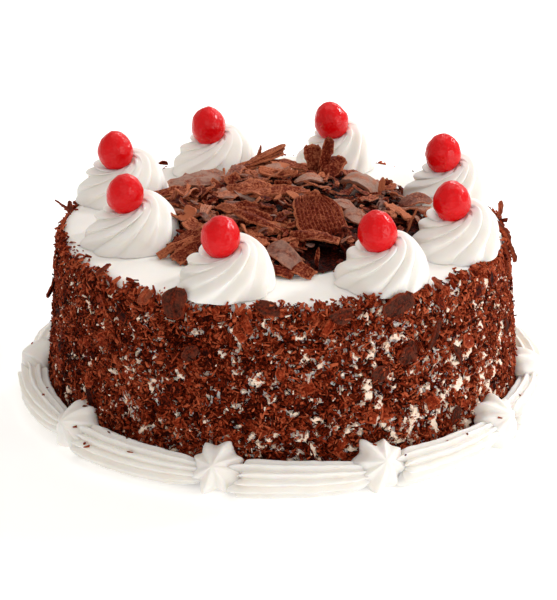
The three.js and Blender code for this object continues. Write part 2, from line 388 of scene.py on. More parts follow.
def polar(bearing: float, distance: float, height: float = 0.0) -> Vector:
    """Gives the point at a bearing and distance from the cake's axis, at a height."""
    angle = math.radians(bearing)
    return Vector((distance * math.cos(angle), distance * math.sin(angle), height))


def only(obj: Object) -> None:
    """Leaves this object as the only selected one, and the active one."""
    bpy.ops.object.select_all(action="DESELECT")
    obj.select_set(True)
    bpy.context.view_layer.objects.active = obj


def new_piece(primitive: Callable[..., object], **settings: object) -> Object:
    """Adds a primitive, with nothing else selected.

    Args:
        primitive: The operator that adds it.
        settings: The operator's own settings.

    Returns:
        The new object.
    """
    bpy.ops.object.select_all(action="DESELECT")
    primitive(**settings)
    return bpy.context.object


@contextmanager
def editing(obj: Object) -> Iterator[None]:
    """Puts an object in edit mode for the lines inside, with everything in it selected.

    Args:
        obj: The object to edit.
    """
    only(obj)
    bpy.ops.object.mode_set(mode="EDIT")
    bpy.ops.mesh.select_mode(type="VERT")
    bpy.ops.mesh.select_all(action="SELECT")
    yield
    bpy.ops.object.mode_set(mode="OBJECT")


def select_verts(obj: Object, test: Callable[[bmesh.types.BMVert], bool]) -> None:
    """Selects the vertices that pass a test, in edit mode.

    Args:
        obj: The object in edit mode.
        test: Says whether a vertex is wanted.
    """
    mesh = bmesh.from_edit_mesh(obj.data)
    wanted = {vert.index for vert in mesh.verts if test(vert)}
    for vert in mesh.verts:
        vert.select_set(vert.index in wanted)
    mesh.select_flush_mode()
    bmesh.update_edit_mesh(obj.data)


def turn(degrees: float, axis: str, centre: Sequence[float]) -> None:
    """Turns what is selected by the right-hand rule.

    Args:
        degrees: The angle. Without a window the operator turns the other way, so its sign is changed.
        axis: "X", "Y" or "Z".
        centre: A point on the axis.
    """
    bpy.ops.transform.rotate(value=-math.radians(degrees), orient_axis=axis, center_override=centre)


def widen(ratio: float, centre: Sequence[float]) -> None:
    """Scales what is selected across Z, about a centre."""
    bpy.ops.transform.resize(value=(ratio, ratio, 1), center_override=centre)


def extrude(step: Sequence[float] = (0, 0, 0)) -> None:
    """Extrudes what is selected, in edit mode, by a step."""
    bpy.ops.mesh.extrude_region_move(TRANSFORM_OT_translate={"value": step})


def extrude_through(rings: Sequence[tuple[float, float]]) -> None:
    """Extrudes the selected ring on through others.

    Args:
        rings: Radius, in any one unit, and height in mm of the selected ring, then of each that follows.
    """
    for (radius, low), (next_radius, high) in pairwise(rings):
        extrude((0, 0, (high - low) * MM))
        widen(next_radius / radius, (0, 0, 0))


def flatten_foot(obj: Object, height_mm: float) -> None:
    """Presses what lies lower than a height flat on the floor, in edit mode."""
    select_verts(obj, lambda vert: vert.co.z < height_mm * MM)
    bpy.ops.transform.resize(value=(1, 1, 0), center_override=(0, 0, 0))


def face_outwards() -> None:
    """Selects everything and turns the normals outwards, in edit mode."""
    bpy.ops.mesh.select_all(action="SELECT")
    bpy.ops.mesh.normals_make_consistent(inside=False)


def add_lumps(obj: Object, size_mm: float, depth_mm: float) -> None:
    """Adds soft unevenness, which differs from place to place, as a modifier.

    Args:
        obj: The object.
        size_mm: Width of a lump.
        depth_mm: How far the surface swings in all.
    """
    texture = bpy.data.textures.new("soft lumps", "CLOUDS")
    texture.noise_scale = size_mm * MM
    texture.noise_depth = 1
    modifier = obj.modifiers.new("lumps", "DISPLACE")
    modifier.texture = texture
    modifier.texture_coords = "LOCAL"
    modifier.strength = depth_mm * MM
    modifier.mid_level = 0.5


def apply_all(obj: Object) -> None:
    """Applies an object's place and all of its modifiers.

    Args:
        obj: The object.
    """
    only(obj)
    bpy.ops.object.transform_apply(location=True, rotation=True, scale=True)
    for modifier in list(obj.modifiers):
        bpy.ops.object.modifier_apply(modifier=modifier.name)


def soften(obj: Object, size_mm: float, depth_mm: float, rounds: int = 1) -> None:
    """Rounds a piece and makes it softly uneven, with everything applied.

    Args:
        obj: The piece.
        size_mm: Width of a lump.
        depth_mm: How far the surface swings in all.
        rounds: 1 rounds the piece before the lumps are added, and 2 rounds it once more after that.
    """
    apply_all(obj)
    obj.modifiers.new("rounding", "SUBSURF").levels = 1
    add_lumps(obj, size_mm, depth_mm)
    if rounds == 2:
        obj.modifiers.new("rounding", "SUBSURF").levels = 1
    apply_all(obj)


def points_of(obj: Object) -> np.ndarray:
    """Gives an object's points in mm, one row each."""
    return Scatter.read(obj.data.vertices, "co", 3, np.float32) / MM


def draw_sizes(rng: np.random.Generator, count: int, *spans: tuple[float, float]) -> np.ndarray:
    """Draws sizes, one row for each copy and one column for each span, which is the least and the most."""
    return np.stack([rng.uniform(*span, count) for span in spans], axis=1)


def hand_over(obj: Object, name: str, material: Material, slot: Slot, *nodes: str) -> None:
    """Names a finished piece, dresses it and joins it to the frame.

    Args:
        obj: The finished piece.
        name: Its name.
        material: Its finish.
        slot: The record's slot that the finish stands for; not used.
        nodes: The solids that the piece replaces.
    """
    obj.name = obj.data.name = name
    obj.data.materials.clear()
    obj.data.materials.append(material)
    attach(obj, "root")
    if nodes:
        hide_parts(*nodes)
    log.info("%s: %d faces", name, len(obj.data.polygons))


@dataclass(frozen=True)
class Ring:
    """One step of a piped form.

    Attributes:
        radius: Of the ridges, in metres.
        groove: The grooves' radius, as a share of the ridges' radius.
        step: How far the nozzle has moved since the ring before.
        twist: Degrees that the nozzle has turned since the ring before.
        swing: Degrees that the nozzle has moved around the cake's axis since the ring before.
    """

    radius: float
    groove: float
    step: tuple[float, float, float] = (0.0, 0.0, 0.0)
    twist: float = 0.0
    swing: float = 0.0


class Piping:
    """Cream that a star nozzle leaves: a lobed ring is extruded step by step and closed at both ends.

    Each ridge has four columns of vertices: GROOVE is the first, and RIDGE are the three over the crest.
    """

    GROOVE: ClassVar[tuple[int, ...]] = (0,)
    RIDGE: ClassVar[tuple[int, ...]] = (1, 2, 3)

    def __init__(
        self,
        flutes: int,
        ring: Ring,
        place: Sequence[float] = (0, 0, 0),
        upright: bool = False,
        crease: float = 0.5,
        sharp: float = 0.0,
    ) -> None:
        """Starts the form with its first ring, and stays in edit mode until it is closed.

        Args:
            flutes: How many ridges the nozzle makes.
            ring: The first ring.
            place: The first ring's middle.
            upright: Whether the ring stands in the XZ plane, and doesn't lie flat.
            crease: How sharp the bottoms of the grooves stay, from 0 to 1.
            sharp: How sharp the ridges are, from 0 for round to 1 for straight flanks.
        """
        self.flutes, self.crease, self.sharp = flutes, crease, sharp
        self.obj = new_piece(
            bpy.ops.mesh.primitive_circle_add,
            vertices=4 * flutes,
            radius=ring.radius,
            location=place,
            rotation=(math.radians(90) if upright else 0, 0, 0),
        )
        apply_all(self.obj)
        self.ring = Ring(ring.radius, 1.0)
        self.middles = [Vector(place)]
        bpy.ops.object.mode_set(mode="EDIT")
        bpy.ops.mesh.select_mode(type="VERT")
        mesh = bmesh.from_edit_mesh(self.obj.data)
        column = mesh.verts.layers.int.new("column")
        mesh.verts.layers.int.new("ring")
        for vert in mesh.verts:
            vert[column] = vert.index % 4
        self.select_ring(0)
        self.set_groove(ring.groove)

    def layers(self) -> tuple[bmesh.types.BMesh, bmesh.types.BMLayerItem, bmesh.types.BMLayerItem]:
        """Gives the mesh and its two numberings, of columns and of rings."""
        mesh = bmesh.from_edit_mesh(self.obj.data)
        return mesh, mesh.verts.layers.int["column"], mesh.verts.layers.int["ring"]

    def select_ring(self, number: int, *columns: int) -> None:
        """Selects a ring.

        Args:
            number: The ring's number.
            columns: The columns wanted, or none for all.
        """
        mesh, column, ring = self.layers()
        for vert in mesh.verts:
            vert.select_set(False)
        for vert in mesh.verts:
            if vert[ring] == number and (not columns or vert[column] in columns):
                vert.select_set(True)
        mesh.select_flush_mode()
        bmesh.update_edit_mesh(self.obj.data)

    def set_groove(self, share: float) -> None:
        """Gives the newest ring its depth of groove, with flanks that make the ridges round or sharp.

        Args:
            share: The grooves' radius, as a share of the ridges' radius.
        """
        old, middle = self.ring.groove, self.middles[-1]
        hollow = 0.16 + 0.34 * self.sharp  # the flanks' depth, as a share of the groove's
        flanks = (1 - hollow * (1 - share)) / (1 - hollow * (1 - old))
        changes = {self.GROOVE: share / old, (1, 3): flanks}
        for columns, change in changes.items():
            if abs(change - 1) > 1e-4:
                self.select_ring(len(self.middles) - 1, *columns)
                bpy.ops.transform.resize(value=(change,) * 3, center_override=middle)
        self.select_ring(len(self.middles) - 1)

    def make_uneven(
        self, rng: np.random.Generator, turning: float, *spans: tuple[tuple[int, ...], float, float]
    ) -> None:
        """Makes the first ring's ridges and grooves differ, and the rings after it follow.

        Args:
            rng: Draws by how much.
            turning: Degrees that a part of the ring may be turned by, to either side.
            spans: Columns of each ridge, with the least and the most that they are scaled by.
        """
        centre = self.middles[0]
        for ridge in range(self.flutes):
            for columns, least, most in spans:
                wanted = {4 * ridge + column for column in columns}
                select_verts(self.obj, lambda vert, wanted=wanted: vert.index in wanted)
                if turning:
                    turn(rng.uniform(-turning, turning), "Z", centre)
                bpy.ops.transform.resize(value=(rng.uniform(least, most),) * 3, center_override=centre)
        self.select_ring(0)

    def go_on(self, ring: Ring) -> None:
        """Pipes on to the next ring.

        Args:
            ring: The next ring.
        """
        extrude(ring.step)
        middle = self.middles[-1] + Vector(ring.step)
        mesh, _, number = self.layers()
        for vert in mesh.verts:
            if vert.select:
                vert[number] = len(self.middles)
        if ring.swing:
            turn(ring.swing, "Z", (0, 0, 0))
            cos, sin = math.cos(math.radians(ring.swing)), math.sin(math.radians(ring.swing))
            middle.xy = (middle.x * cos - middle.y * sin, middle.x * sin + middle.y * cos)
        if ring.twist:
            turn(ring.twist, "Z", middle)
        bpy.ops.transform.resize(value=(ring.radius / self.ring.radius,) * 3, center_override=middle)
        self.middles.append(middle)
        self.set_groove(ring.groove)
        self.ring = ring

    def close(self, inset: float = 0.5) -> Object:
        """Closes both ends, creases the grooves and leaves edit mode.

        Args:
            inset: Size of the ring inside the first end's face, as a share of that end.

        Returns:
            The form.
        """
        bpy.ops.mesh.merge(type="CENTER")
        bpy.ops.mesh.select_all(action="DESELECT")
        bpy.ops.mesh.select_non_manifold()
        extrude()
        bpy.ops.transform.resize(value=(inset,) * 3, center_override=self.middles[0])
        bpy.ops.mesh.merge(type="CENTER")
        mesh, column, ring = self.layers()
        crease = mesh.edges.layers.float.get("crease_edge") or mesh.edges.layers.float.new("crease_edge")
        for edge in mesh.edges:
            first, second = edge.verts
            if first[column] == second[column] and first[ring] != second[ring]:
                edge[crease] = (self.crease, 0.0, 0.7 * self.sharp, 0.0)[first[column]]
        bmesh.update_edit_mesh(self.obj.data)
        face_outwards()
        bpy.ops.object.mode_set(mode="OBJECT")
        return self.obj


def cut_at_floor(obj: Object) -> None:
    """Cuts off what would lie below the floor, and fills the cut."""
    cut = {"plane_co": (0, 0, 0), "plane_no": (0, 0, 1), "threshold": 1e-6}
    with editing(obj):
        bpy.ops.mesh.bisect(use_fill=True, clear_inner=True, **cut)


def set_layers(mesh: Mesh, tone: np.ndarray, outer: np.ndarray, grain: np.ndarray) -> None:
    """Writes the attributes that the chocolate's finish reads.

    Args:
        mesh: The piece's mesh.
        tone: How light each point is, from 0 to 1.
        outer: 1 where the blade left the chocolate smooth.
        grain: Each point's place in the pattern, in mm.
    """
    for title, kind, part, values in (
        ("tone", "FLOAT", "value", tone),
        ("outer", "FLOAT", "value", outer),
        ("grain_place", "FLOAT_VECTOR", "vector", grain),
    ):
        layer = mesh.attributes.new(title, kind, "POINT")
        layer.data.foreach_set(part, np.ascontiguousarray(values, np.float32).ravel())


@dataclass
class Scatter:
    """Many placed copies of a few modelled pieces.

    Attributes:
        place: Where each copy's middle goes, one row each.
        axes: For each copy, its own X, Y and Z as columns.
        size: Its scale along them.
        tone: How light it is, from 0 to 1.
        pick: Which of the modelled pieces it is.
        sheen: How much painted grey sheen its smooth outer face has, from 0 to 1.
    """

    place: np.ndarray
    axes: np.ndarray
    size: np.ndarray
    tone: np.ndarray
    pick: np.ndarray
    sheen: np.ndarray | None = None

    def __post_init__(self) -> None:
        """Gives no piece a sheen where none is given."""
        if self.sheen is None:
            self.sheen = np.zeros(len(self.tone))

    def kept(self, mask: np.ndarray) -> "Scatter":
        """Gives the copies that a mask leaves."""
        parts = (self.place, self.axes, self.size, self.tone, self.pick, self.sheen)
        return Scatter(*(part[mask] for part in parts))

    def joined(self, name: str, models: Sequence[Object], floor: float = -1.0) -> Object:
        """Copies the modelled pieces to all of their places as one mesh.

        Args:
            name: The new object's name.
            models: The modelled pieces, which are removed afterwards.
            floor: The height that each copy's lowest point is raised to, where it is lower.

        Returns:
            The new object, with the attributes that the chocolate's finish reads.
        """
        verts, corners, starts, tones, grains, outers = [], [], [], [], [], []
        vert_count = corner_count = 0
        for index, model in enumerate(models):
            mesh = model.data
            chosen = np.flatnonzero(self.pick == index)
            co = self.read(mesh.vertices, "co", 3, np.float32)
            normal = self.read(mesh.vertices, "normal", 3, np.float32)
            loops = self.read(mesh.loops, "vertex_index", 1, np.int32).ravel()
            begins = self.read(mesh.polygons, "loop_start", 1, np.int32).ravel()
            sized = co[None] * self.size[chosen][:, None]
            placed = np.einsum("nij,nvj->nvi", self.axes[chosen], sized) + self.place[chosen][:, None]
            if len(chosen):
                placed[:, :, 2] += np.maximum(0, floor - placed[:, :, 2].min(axis=1))[:, None]
            count, size = placed.shape[:2]
            order = np.arange(count)[:, None]
            verts.append(placed.reshape(-1, 3))
            corners.append((loops + size * order + vert_count).ravel())
            starts.append((begins + len(loops) * order + corner_count).ravel())
            # Painted highlight: each shaving's rim is made paler, as a lit edge.
            rim = mesh.attributes.get("rim")
            rim_highlight = 0.34 * self.read(rim.data, "value", 1, np.float32).ravel() if rim else np.zeros(size)
            tones.append((self.tone[chosen][:, None] + rim_highlight).ravel())
            # The painted sheen goes on each model's upward face.
            smooth = (normal[:, 2] > 0.3).astype(np.float32)
            outers.append((self.sheen[chosen][:, None] * smooth).ravel())
            grains.append((sized / MM + (37.0 * order[:, :, None]) % 997).reshape(-1, 3))
            vert_count += count * size
            corner_count += count * len(loops)
        data = bpy.data.meshes.new(name)
        data.vertices.add(vert_count)
        data.vertices.foreach_set("co", np.concatenate(verts).astype(np.float32).ravel())
        data.loops.add(corner_count)
        data.loops.foreach_set("vertex_index", np.concatenate(corners).astype(np.int32))
        begins = np.concatenate(starts).astype(np.int32)
        data.polygons.add(len(begins))
        data.polygons.foreach_set("loop_start", begins)
        data.update(calc_edges=True)
        set_layers(data, np.concatenate(tones), np.concatenate(outers), np.concatenate(grains))
        obj = bpy.data.objects.new(name, data)
        bpy.context.scene.collection.objects.link(obj)
        for model in models:
            bpy.data.meshes.remove(model.data)
        only(obj)
        bpy.ops.object.shade_smooth_by_angle(angle=math.radians(35))
        return obj

    @staticmethod
    def read(items: bpy.types.bpy_prop_collection, part: str, width: int, kind: type) -> np.ndarray:
        """Reads a mesh's values into an array.

        Args:
            items: The mesh's vertices, corners or faces.
            part: What is read of each.
            width: How many numbers that is.
            kind: The numbers' type.

        Returns:
            One row for each.
        """
        values = np.empty(len(items) * width, kind)
        items.foreach_get(part, values)
        return values.reshape(-1, width)


def axes_along(normal: np.ndarray, along: np.ndarray) -> np.ndarray:
    """Gives axes whose Z is the normal, and whose X is the direction nearest to the one given.

    Args:
        normal: One row for each copy.
        along: One row for each copy.

    Returns:
        For each copy, its own X, Y and Z as columns.
    """
    along = along - np.sum(along * normal, axis=1, keepdims=True) * normal
    along /= np.linalg.norm(along, axis=1, keepdims=True)
    return np.stack([along, np.cross(normal, along), normal], axis=2)


def spun(axes: np.ndarray, degrees: np.ndarray, axis: int) -> np.ndarray:
    """Turns each copy about one of its own axes.

    Args:
        axes: For each copy, its own X, Y and Z as columns.
        degrees: The angle for each.
        axis: 0, 1 or 2.

    Returns:
        The turned axes.
    """
    first, second = (axis + 1) % 3, (axis + 2) % 3
    cos, sin = np.cos(np.radians(degrees)), np.sin(np.radians(degrees))
    turning = np.zeros_like(axes)
    turning[:, axis, axis] = 1
    turning[:, first, first] = turning[:, second, second] = cos
    turning[:, second, first] = sin
    turning[:, first, second] = -sin
    return axes @ turning


def smooth_noise(u: np.ndarray, v: np.ndarray, columns: int, seed: int) -> np.ndarray:
    """Gives a soft random field from 0 to 1, whose lumps are 1 wide and which repeats along u.

    Args:
        u: Places along the first way.
        v: Places along the second way.
        columns: After how many lumps it repeats along u.
        seed: Of the field.

    Returns:
        The field at those places.
    """
    table = np.random.default_rng(seed).random((columns, 128))
    i, j = np.floor(u).astype(int), np.floor(v).astype(int)
    a, b = u - i, v - j
    a, b = a * a * (3 - 2 * a), b * b * (3 - 2 * b)
    low = table[i % columns, j % 128] * (1 - a) + table[(i + 1) % columns, j % 128] * a
    high = table[i % columns, (j + 1) % 128] * (1 - a) + table[(i + 1) % columns, (j + 1) % 128] * a
    return low * (1 - b) + high * b


# ---- Models of single pieces of chocolate, 1 mm in size, to be scaled where they are laid ----


def model_shred(seed: int) -> Object:
    """Models a fine shred: a three-sided splinter, thinner at one end.

    Args:
        seed: Of its crookedness.

    Returns:
        The model.
    """
    sizes = {"radius1": 0.55 * MM, "radius2": 0.25 * MM, "depth": MM}
    obj = new_piece(bpy.ops.mesh.primitive_cone_add, vertices=3, rotation=(0, math.radians(90), 0), **sizes)
    apply_all(obj)
    with editing(obj):
        bpy.ops.transform.vertex_random(offset=0.14 * MM, seed=seed)
    return obj


def model_sliver(seed: int) -> Object:
    """Models a grated sliver: a thin bar that tapers to one end and is a little crooked.

    Args:
        seed: Of its crookedness.

    Returns:
        The model.
    """
    obj = new_piece(bpy.ops.mesh.primitive_cube_add, size=MM)
    with editing(obj):
        select_verts(obj, lambda vert: vert.co.x > 0)
        bpy.ops.transform.resize(value=(1, 0.45, 0.6), center_override=(0.5 * MM, 0, 0))
        bpy.ops.mesh.select_all(action="SELECT")
        bpy.ops.transform.vertex_random(offset=0.16 * MM, seed=seed)
    return obj


def model_chip(seed: int) -> Object:
    """Models a flat grated chip: a thin plate with five uneven corners.

    Args:
        seed: Of its corners.

    Returns:
        The model.
    """
    obj = new_piece(bpy.ops.mesh.primitive_circle_add, vertices=5, radius=0.5 * MM, fill_type="NGON")
    with editing(obj):
        bpy.ops.transform.vertex_random(offset=0.14 * MM, seed=seed)
        extrude((0, 0, MM))
        face_outwards()
        bpy.ops.transform.translate(value=(0, 0, -0.5 * MM))
    return obj


def model_crumb(seed: int) -> Object:
    """Models a crumb: a small lump with uneven corners.

    Args:
        seed: Of its corners.

    Returns:
        The model.
    """
    obj = new_piece(bpy.ops.mesh.primitive_ico_sphere_add, subdivisions=1, radius=0.5 * MM)
    with editing(obj):
        bpy.ops.transform.vertex_random(offset=0.15 * MM, seed=seed)
    return obj


@dataclass(frozen=True)
class ShavingCut:
    """How a shaving is cut: a sheet with an uneven outline, bent along its length.

    Attributes:
        columns: Faces along it.
        rows: Faces across it.
        bend: Degrees that it is bent by, its outer side up.
        thickness: As a share of its length.
        ragged: How far its edge wanders, as a share of its size.
        waist: How much narrower than the widest place it may be, as a share.
        ridge: Height of the blade's ridges along it, as a share of its length.
        wave: How far it buckles, as a share of its length.
        taper: How far its ends are rounded off, from 0 to 1 for a full oval.
    """

    columns: int
    rows: int
    bend: float
    thickness: float
    ragged: float
    waist: float = 0.35
    ridge: float = 0.0
    wave: float = 0.0
    taper: float = 0.3

    def model(self, seed: int) -> Object:
        """Models the shaving.

        Args:
            seed: Of its outline.

        Returns:
            The model.
        """
        rng = np.random.default_rng(seed)
        cells = {"x_subdivisions": self.columns, "y_subdivisions": self.rows}
        obj = new_piece(bpy.ops.mesh.primitive_grid_add, size=MM, **cells)
        xs = sorted({round(vert.co.x, 6) for vert in obj.data.vertices})
        ys = sorted({round(vert.co.y, 6) for vert in obj.data.vertices})
        widths = 1 - self.waist * np.interp(np.arange(len(xs)), [0, 3, 7, 11, 15], rng.random(5))
        widths *= 1 - self.taper * (1 - np.sqrt(1 - 0.97 * (2 * np.array(xs) / MM) ** 2))
        drifts = np.interp(np.arange(len(xs)), [0, 4, 8, 12, 16], rng.normal(0, 0.05, 5)) * MM
        with editing(obj):
            for row, y in enumerate(ys[1:-1] if self.ridge else ()):
                select_verts(obj, lambda vert, y=y: abs(vert.co.y - y) < 2e-6)
                bpy.ops.transform.translate(value=(0, 0, self.ridge * (row % 2 - 0.5) * MM))
            for x, width, drift in zip(xs, widths, drifts, strict=True):
                select_verts(obj, lambda vert, x=x: abs(vert.co.x - x) < 2e-6)
                bpy.ops.transform.resize(value=(1, width, 1), center_override=(x, 0, 0))
                bpy.ops.transform.translate(value=(0, drift, 0))
            select_verts(obj, lambda vert: vert.is_boundary)
            self.mark_rim(obj)
            bpy.ops.transform.vertex_random(offset=self.ragged * MM, seed=seed)
            bpy.ops.mesh.select_all(action="SELECT")
            bpy.ops.transform.vertex_random(offset=0.15 * self.ragged * MM, seed=seed + 1)
        if self.wave:
            away = seed * 7 * MM  # so that every seed has its own part of the lumps
            obj.location.x = away
            apply_all(obj)
            add_lumps(obj, 0.35, self.wave)
            apply_all(obj)
            obj.location.x = -away
        obj.rotation_euler.x = math.radians(90)
        apply_all(obj)
        if self.bend:
            curl = obj.modifiers.new("curl", "SIMPLE_DEFORM")
            curl.deform_method = "BEND"
            curl.deform_axis = "Z"
            curl.angle = math.radians(self.bend)
            apply_all(obj)
        obj.rotation_euler.x = math.radians(-90)
        wall = obj.modifiers.new("thickness", "SOLIDIFY")
        wall.thickness = self.thickness * MM
        wall.offset = 0
        apply_all(obj)
        return obj

    @staticmethod
    def mark_rim(obj: Object) -> None:
        """Marks what is selected as the broken edge, which gets a painted highlight: a paler tone.

        Args:
            obj: The shaving, in edit mode.
        """
        mesh = bmesh.from_edit_mesh(obj.data)
        rim = mesh.verts.layers.float.new("rim")
        for vert in mesh.verts:
            vert[rim] = float(vert.select)
        bmesh.update_edit_mesh(obj.data)


# ---- The cake ----


@dataclass(frozen=True)
class Side:
    """The cake's side as a path: it starts at the foot, climbs the wall, rounds the rim and runs inwards.

    Attributes:
        foot: Radius at the foot, in mm.
        rim: Radius at the top of the wall.
        shoulder: Height of the wall.
        rounding: Radius of the rim's rounding.
    """

    foot: float = 107.0
    rim: float = 100.4
    shoulder: float = 75.0
    rounding: float = 4.0

    @property
    def wall(self) -> float:
        """Length of the wall."""
        return math.hypot(self.foot - self.rim, self.shoulder)

    @property
    def top(self) -> float:
        """Where the path has come round to the top."""
        return self.wall + self.rounding * math.pi / 2

    @property
    def height(self) -> float:
        """Height of the top."""
        return self.shoulder + self.rounding

    def at(self, path: np.ndarray) -> tuple[np.ndarray, np.ndarray, np.ndarray, np.ndarray]:
        """Gives the points along the path.

        Args:
            path: Distances along it.

        Returns:
            Distance from the axis, height, and the outward and upward shares of the normal.
        """
        share = np.clip(path / self.wall, 0, 1)
        angle = np.clip((path - self.wall) / self.rounding, 0, math.pi / 2)
        on_wall, on_top = path < self.wall, path > self.top
        distance = np.where(
            on_wall,
            self.foot + (self.rim - self.foot) * share,
            self.rim - self.rounding * (1 - np.cos(angle)) - np.maximum(0, path - self.top),
        )
        height = np.where(on_wall, self.shoulder * share, self.shoulder + self.rounding * np.sin(angle))
        out = np.where(on_wall, self.shoulder / self.wall, np.cos(angle))
        up = np.where(on_wall, (self.foot - self.rim) / self.wall, np.sin(angle))
        return distance, height, np.where(on_top, 0.0, out), np.where(on_top, 1.0, up)


@dataclass(frozen=True)
class Coverage:
    """How thickly the gratings lie on the side: the cream is bare where too few stuck, more so low and right.

    Attributes:
        side: The path that they lie on.
        middle_radius: Of the side, in mm.
        lumps_mm: Sizes of the patches.
        weights: How much each size counts.
        bare_below: The patches' strength below which the cream is bare.
        barer: How much more is bare, at most, low on the side and near the barest bearing.
        barest_bearing: Where the most is bare.
        seed: Of the patches.
    """

    side: Side = field(default_factory=Side)
    middle_radius: float = 103.0
    lumps_mm: tuple[float, ...] = (9.0, 3.0, 1.5)
    weights: tuple[float, ...] = (0.14, 0.38, 0.48)
    bare_below: float = 0.300
    barer: float = 0.125
    barest_bearing: float = 331.0
    seed: int = 11

    def noise(self, bearing: np.ndarray, path: np.ndarray, cell: float, seed: int) -> np.ndarray:
        """Gives a soft random field on the side, with lumps of a size in mm."""
        columns = round(2 * math.pi * self.middle_radius / cell)
        return smooth_noise(bearing / 360 * columns, path / cell, columns, seed)

    def edge(self, bearing: np.ndarray) -> np.ndarray:
        """Gives where along the path the gratings end: unevenly, and lower behind and on the right.

        Args:
            bearing: In degrees.

        Returns:
            Distances along the path.
        """
        still = np.zeros_like(bearing)
        broad = self.noise(bearing, still, 9.0, self.seed + 50)
        fine = self.noise(bearing, still, 2.6, self.seed + 51)
        behind = np.clip(np.sin(np.radians(bearing)) + 0.35, 0, 1)
        right = np.clip(np.cos(np.radians(bearing - 15)), 0, 1) ** 4
        return self.side.top - 3.6 - 4.5 * behind - 2.5 * right + 5.0 * (broad - 0.5) + 4.0 * (fine - 0.5)

    def thickness(self, bearing: np.ndarray, path: np.ndarray) -> np.ndarray:
        """Gives how thickly the gratings lie.

        Args:
            bearing: In degrees.
            path: Distances along the side's path.

        Returns:
            About 0.2 on the average, and below 0 where the cream is bare.
        """
        total = np.zeros_like(bearing)
        for number, (cell, weight) in enumerate(zip(self.lumps_mm, self.weights, strict=True)):
            total += weight * self.noise(bearing, path, cell, self.seed + number)
        low = np.clip(1.1 - path / self.side.shoulder, 0, 1)
        turned = (0.5 + 0.5 * np.cos(np.radians(bearing - self.barest_bearing))) ** 6
        bareness = (0.35 + 0.65 * low) * (0.3 + 0.7 * turned)
        patches = total - self.bare_below - self.barer * bareness
        return np.minimum(patches, (self.edge(bearing) - path) * 0.12)


@dataclass
class CreamCoat:
    """The cake's coat of whipped cream, spread with a spatula.

    Attributes:
        side: The path of its side.
        columns: Faces round it.
        inwards: Distances in mm from the end of the side's path to the rings on the top.
        unevenness_mm: How far the spatula's strokes swing.
    """

    side: Side = field(default_factory=Side)
    columns: int = 128
    inwards: tuple[float, ...] = (1.5, 8, 18, 30, 45, 60, 75, 88)
    unevenness_mm: float = 0.9

    def build(self, material: Material) -> None:
        """Builds the coat from rings, closed at the foot and at the middle of the top.

        Args:
            material: Its finish.
        """
        path = np.array([0, 0.5, 12, 25, 37, 50, 62, 72, self.side.wall, 77, 79, self.side.top])
        distance, height, _, _ = self.side.at(path)
        inner = [(distance[-1] - step, self.side.height) for step in self.inwards]
        circle = bpy.ops.mesh.primitive_circle_add
        coat = new_piece(circle, vertices=self.columns, radius=self.side.foot * MM)
        with editing(coat):
            extrude_through([*zip(distance, height, strict=True), *inner])
            bpy.ops.mesh.merge(type="CENTER")
            bpy.ops.mesh.select_non_manifold()
            for share in (0.98, 0.6, 0.5):
                extrude()
                widen(share, (0, 0, 0))
            bpy.ops.mesh.merge(type="CENTER")
            face_outwards()
        soften(coat, 20, self.unevenness_mm)
        with editing(coat):
            flatten_foot(coat, 0.4)
        bpy.ops.object.shade_smooth()
        hand_over(coat, "cream_coat", material, Slot.CREAM, "cake")


@dataclass(frozen=True)
class WallFlake:
    """A flake that stands out on the side: its place, size and tone, and how it is turned.

    Attributes:
        bearing: Of its middle.
        height: Of its middle, in mm.
        length: In mm.
        width: In mm.
        heading: Degrees that its length is turned by from level.
        tilt: Degrees that it is tilted by about its length.
        tone: How light it is.
        lift: Of its middle off the cream, in mm.
        pitch: Degrees that its far end is raised by off the side.
    """

    bearing: float
    height: float
    length: float
    width: float
    heading: float
    tilt: float
    tone: float
    lift: float = 2.2
    pitch: float = 0.0


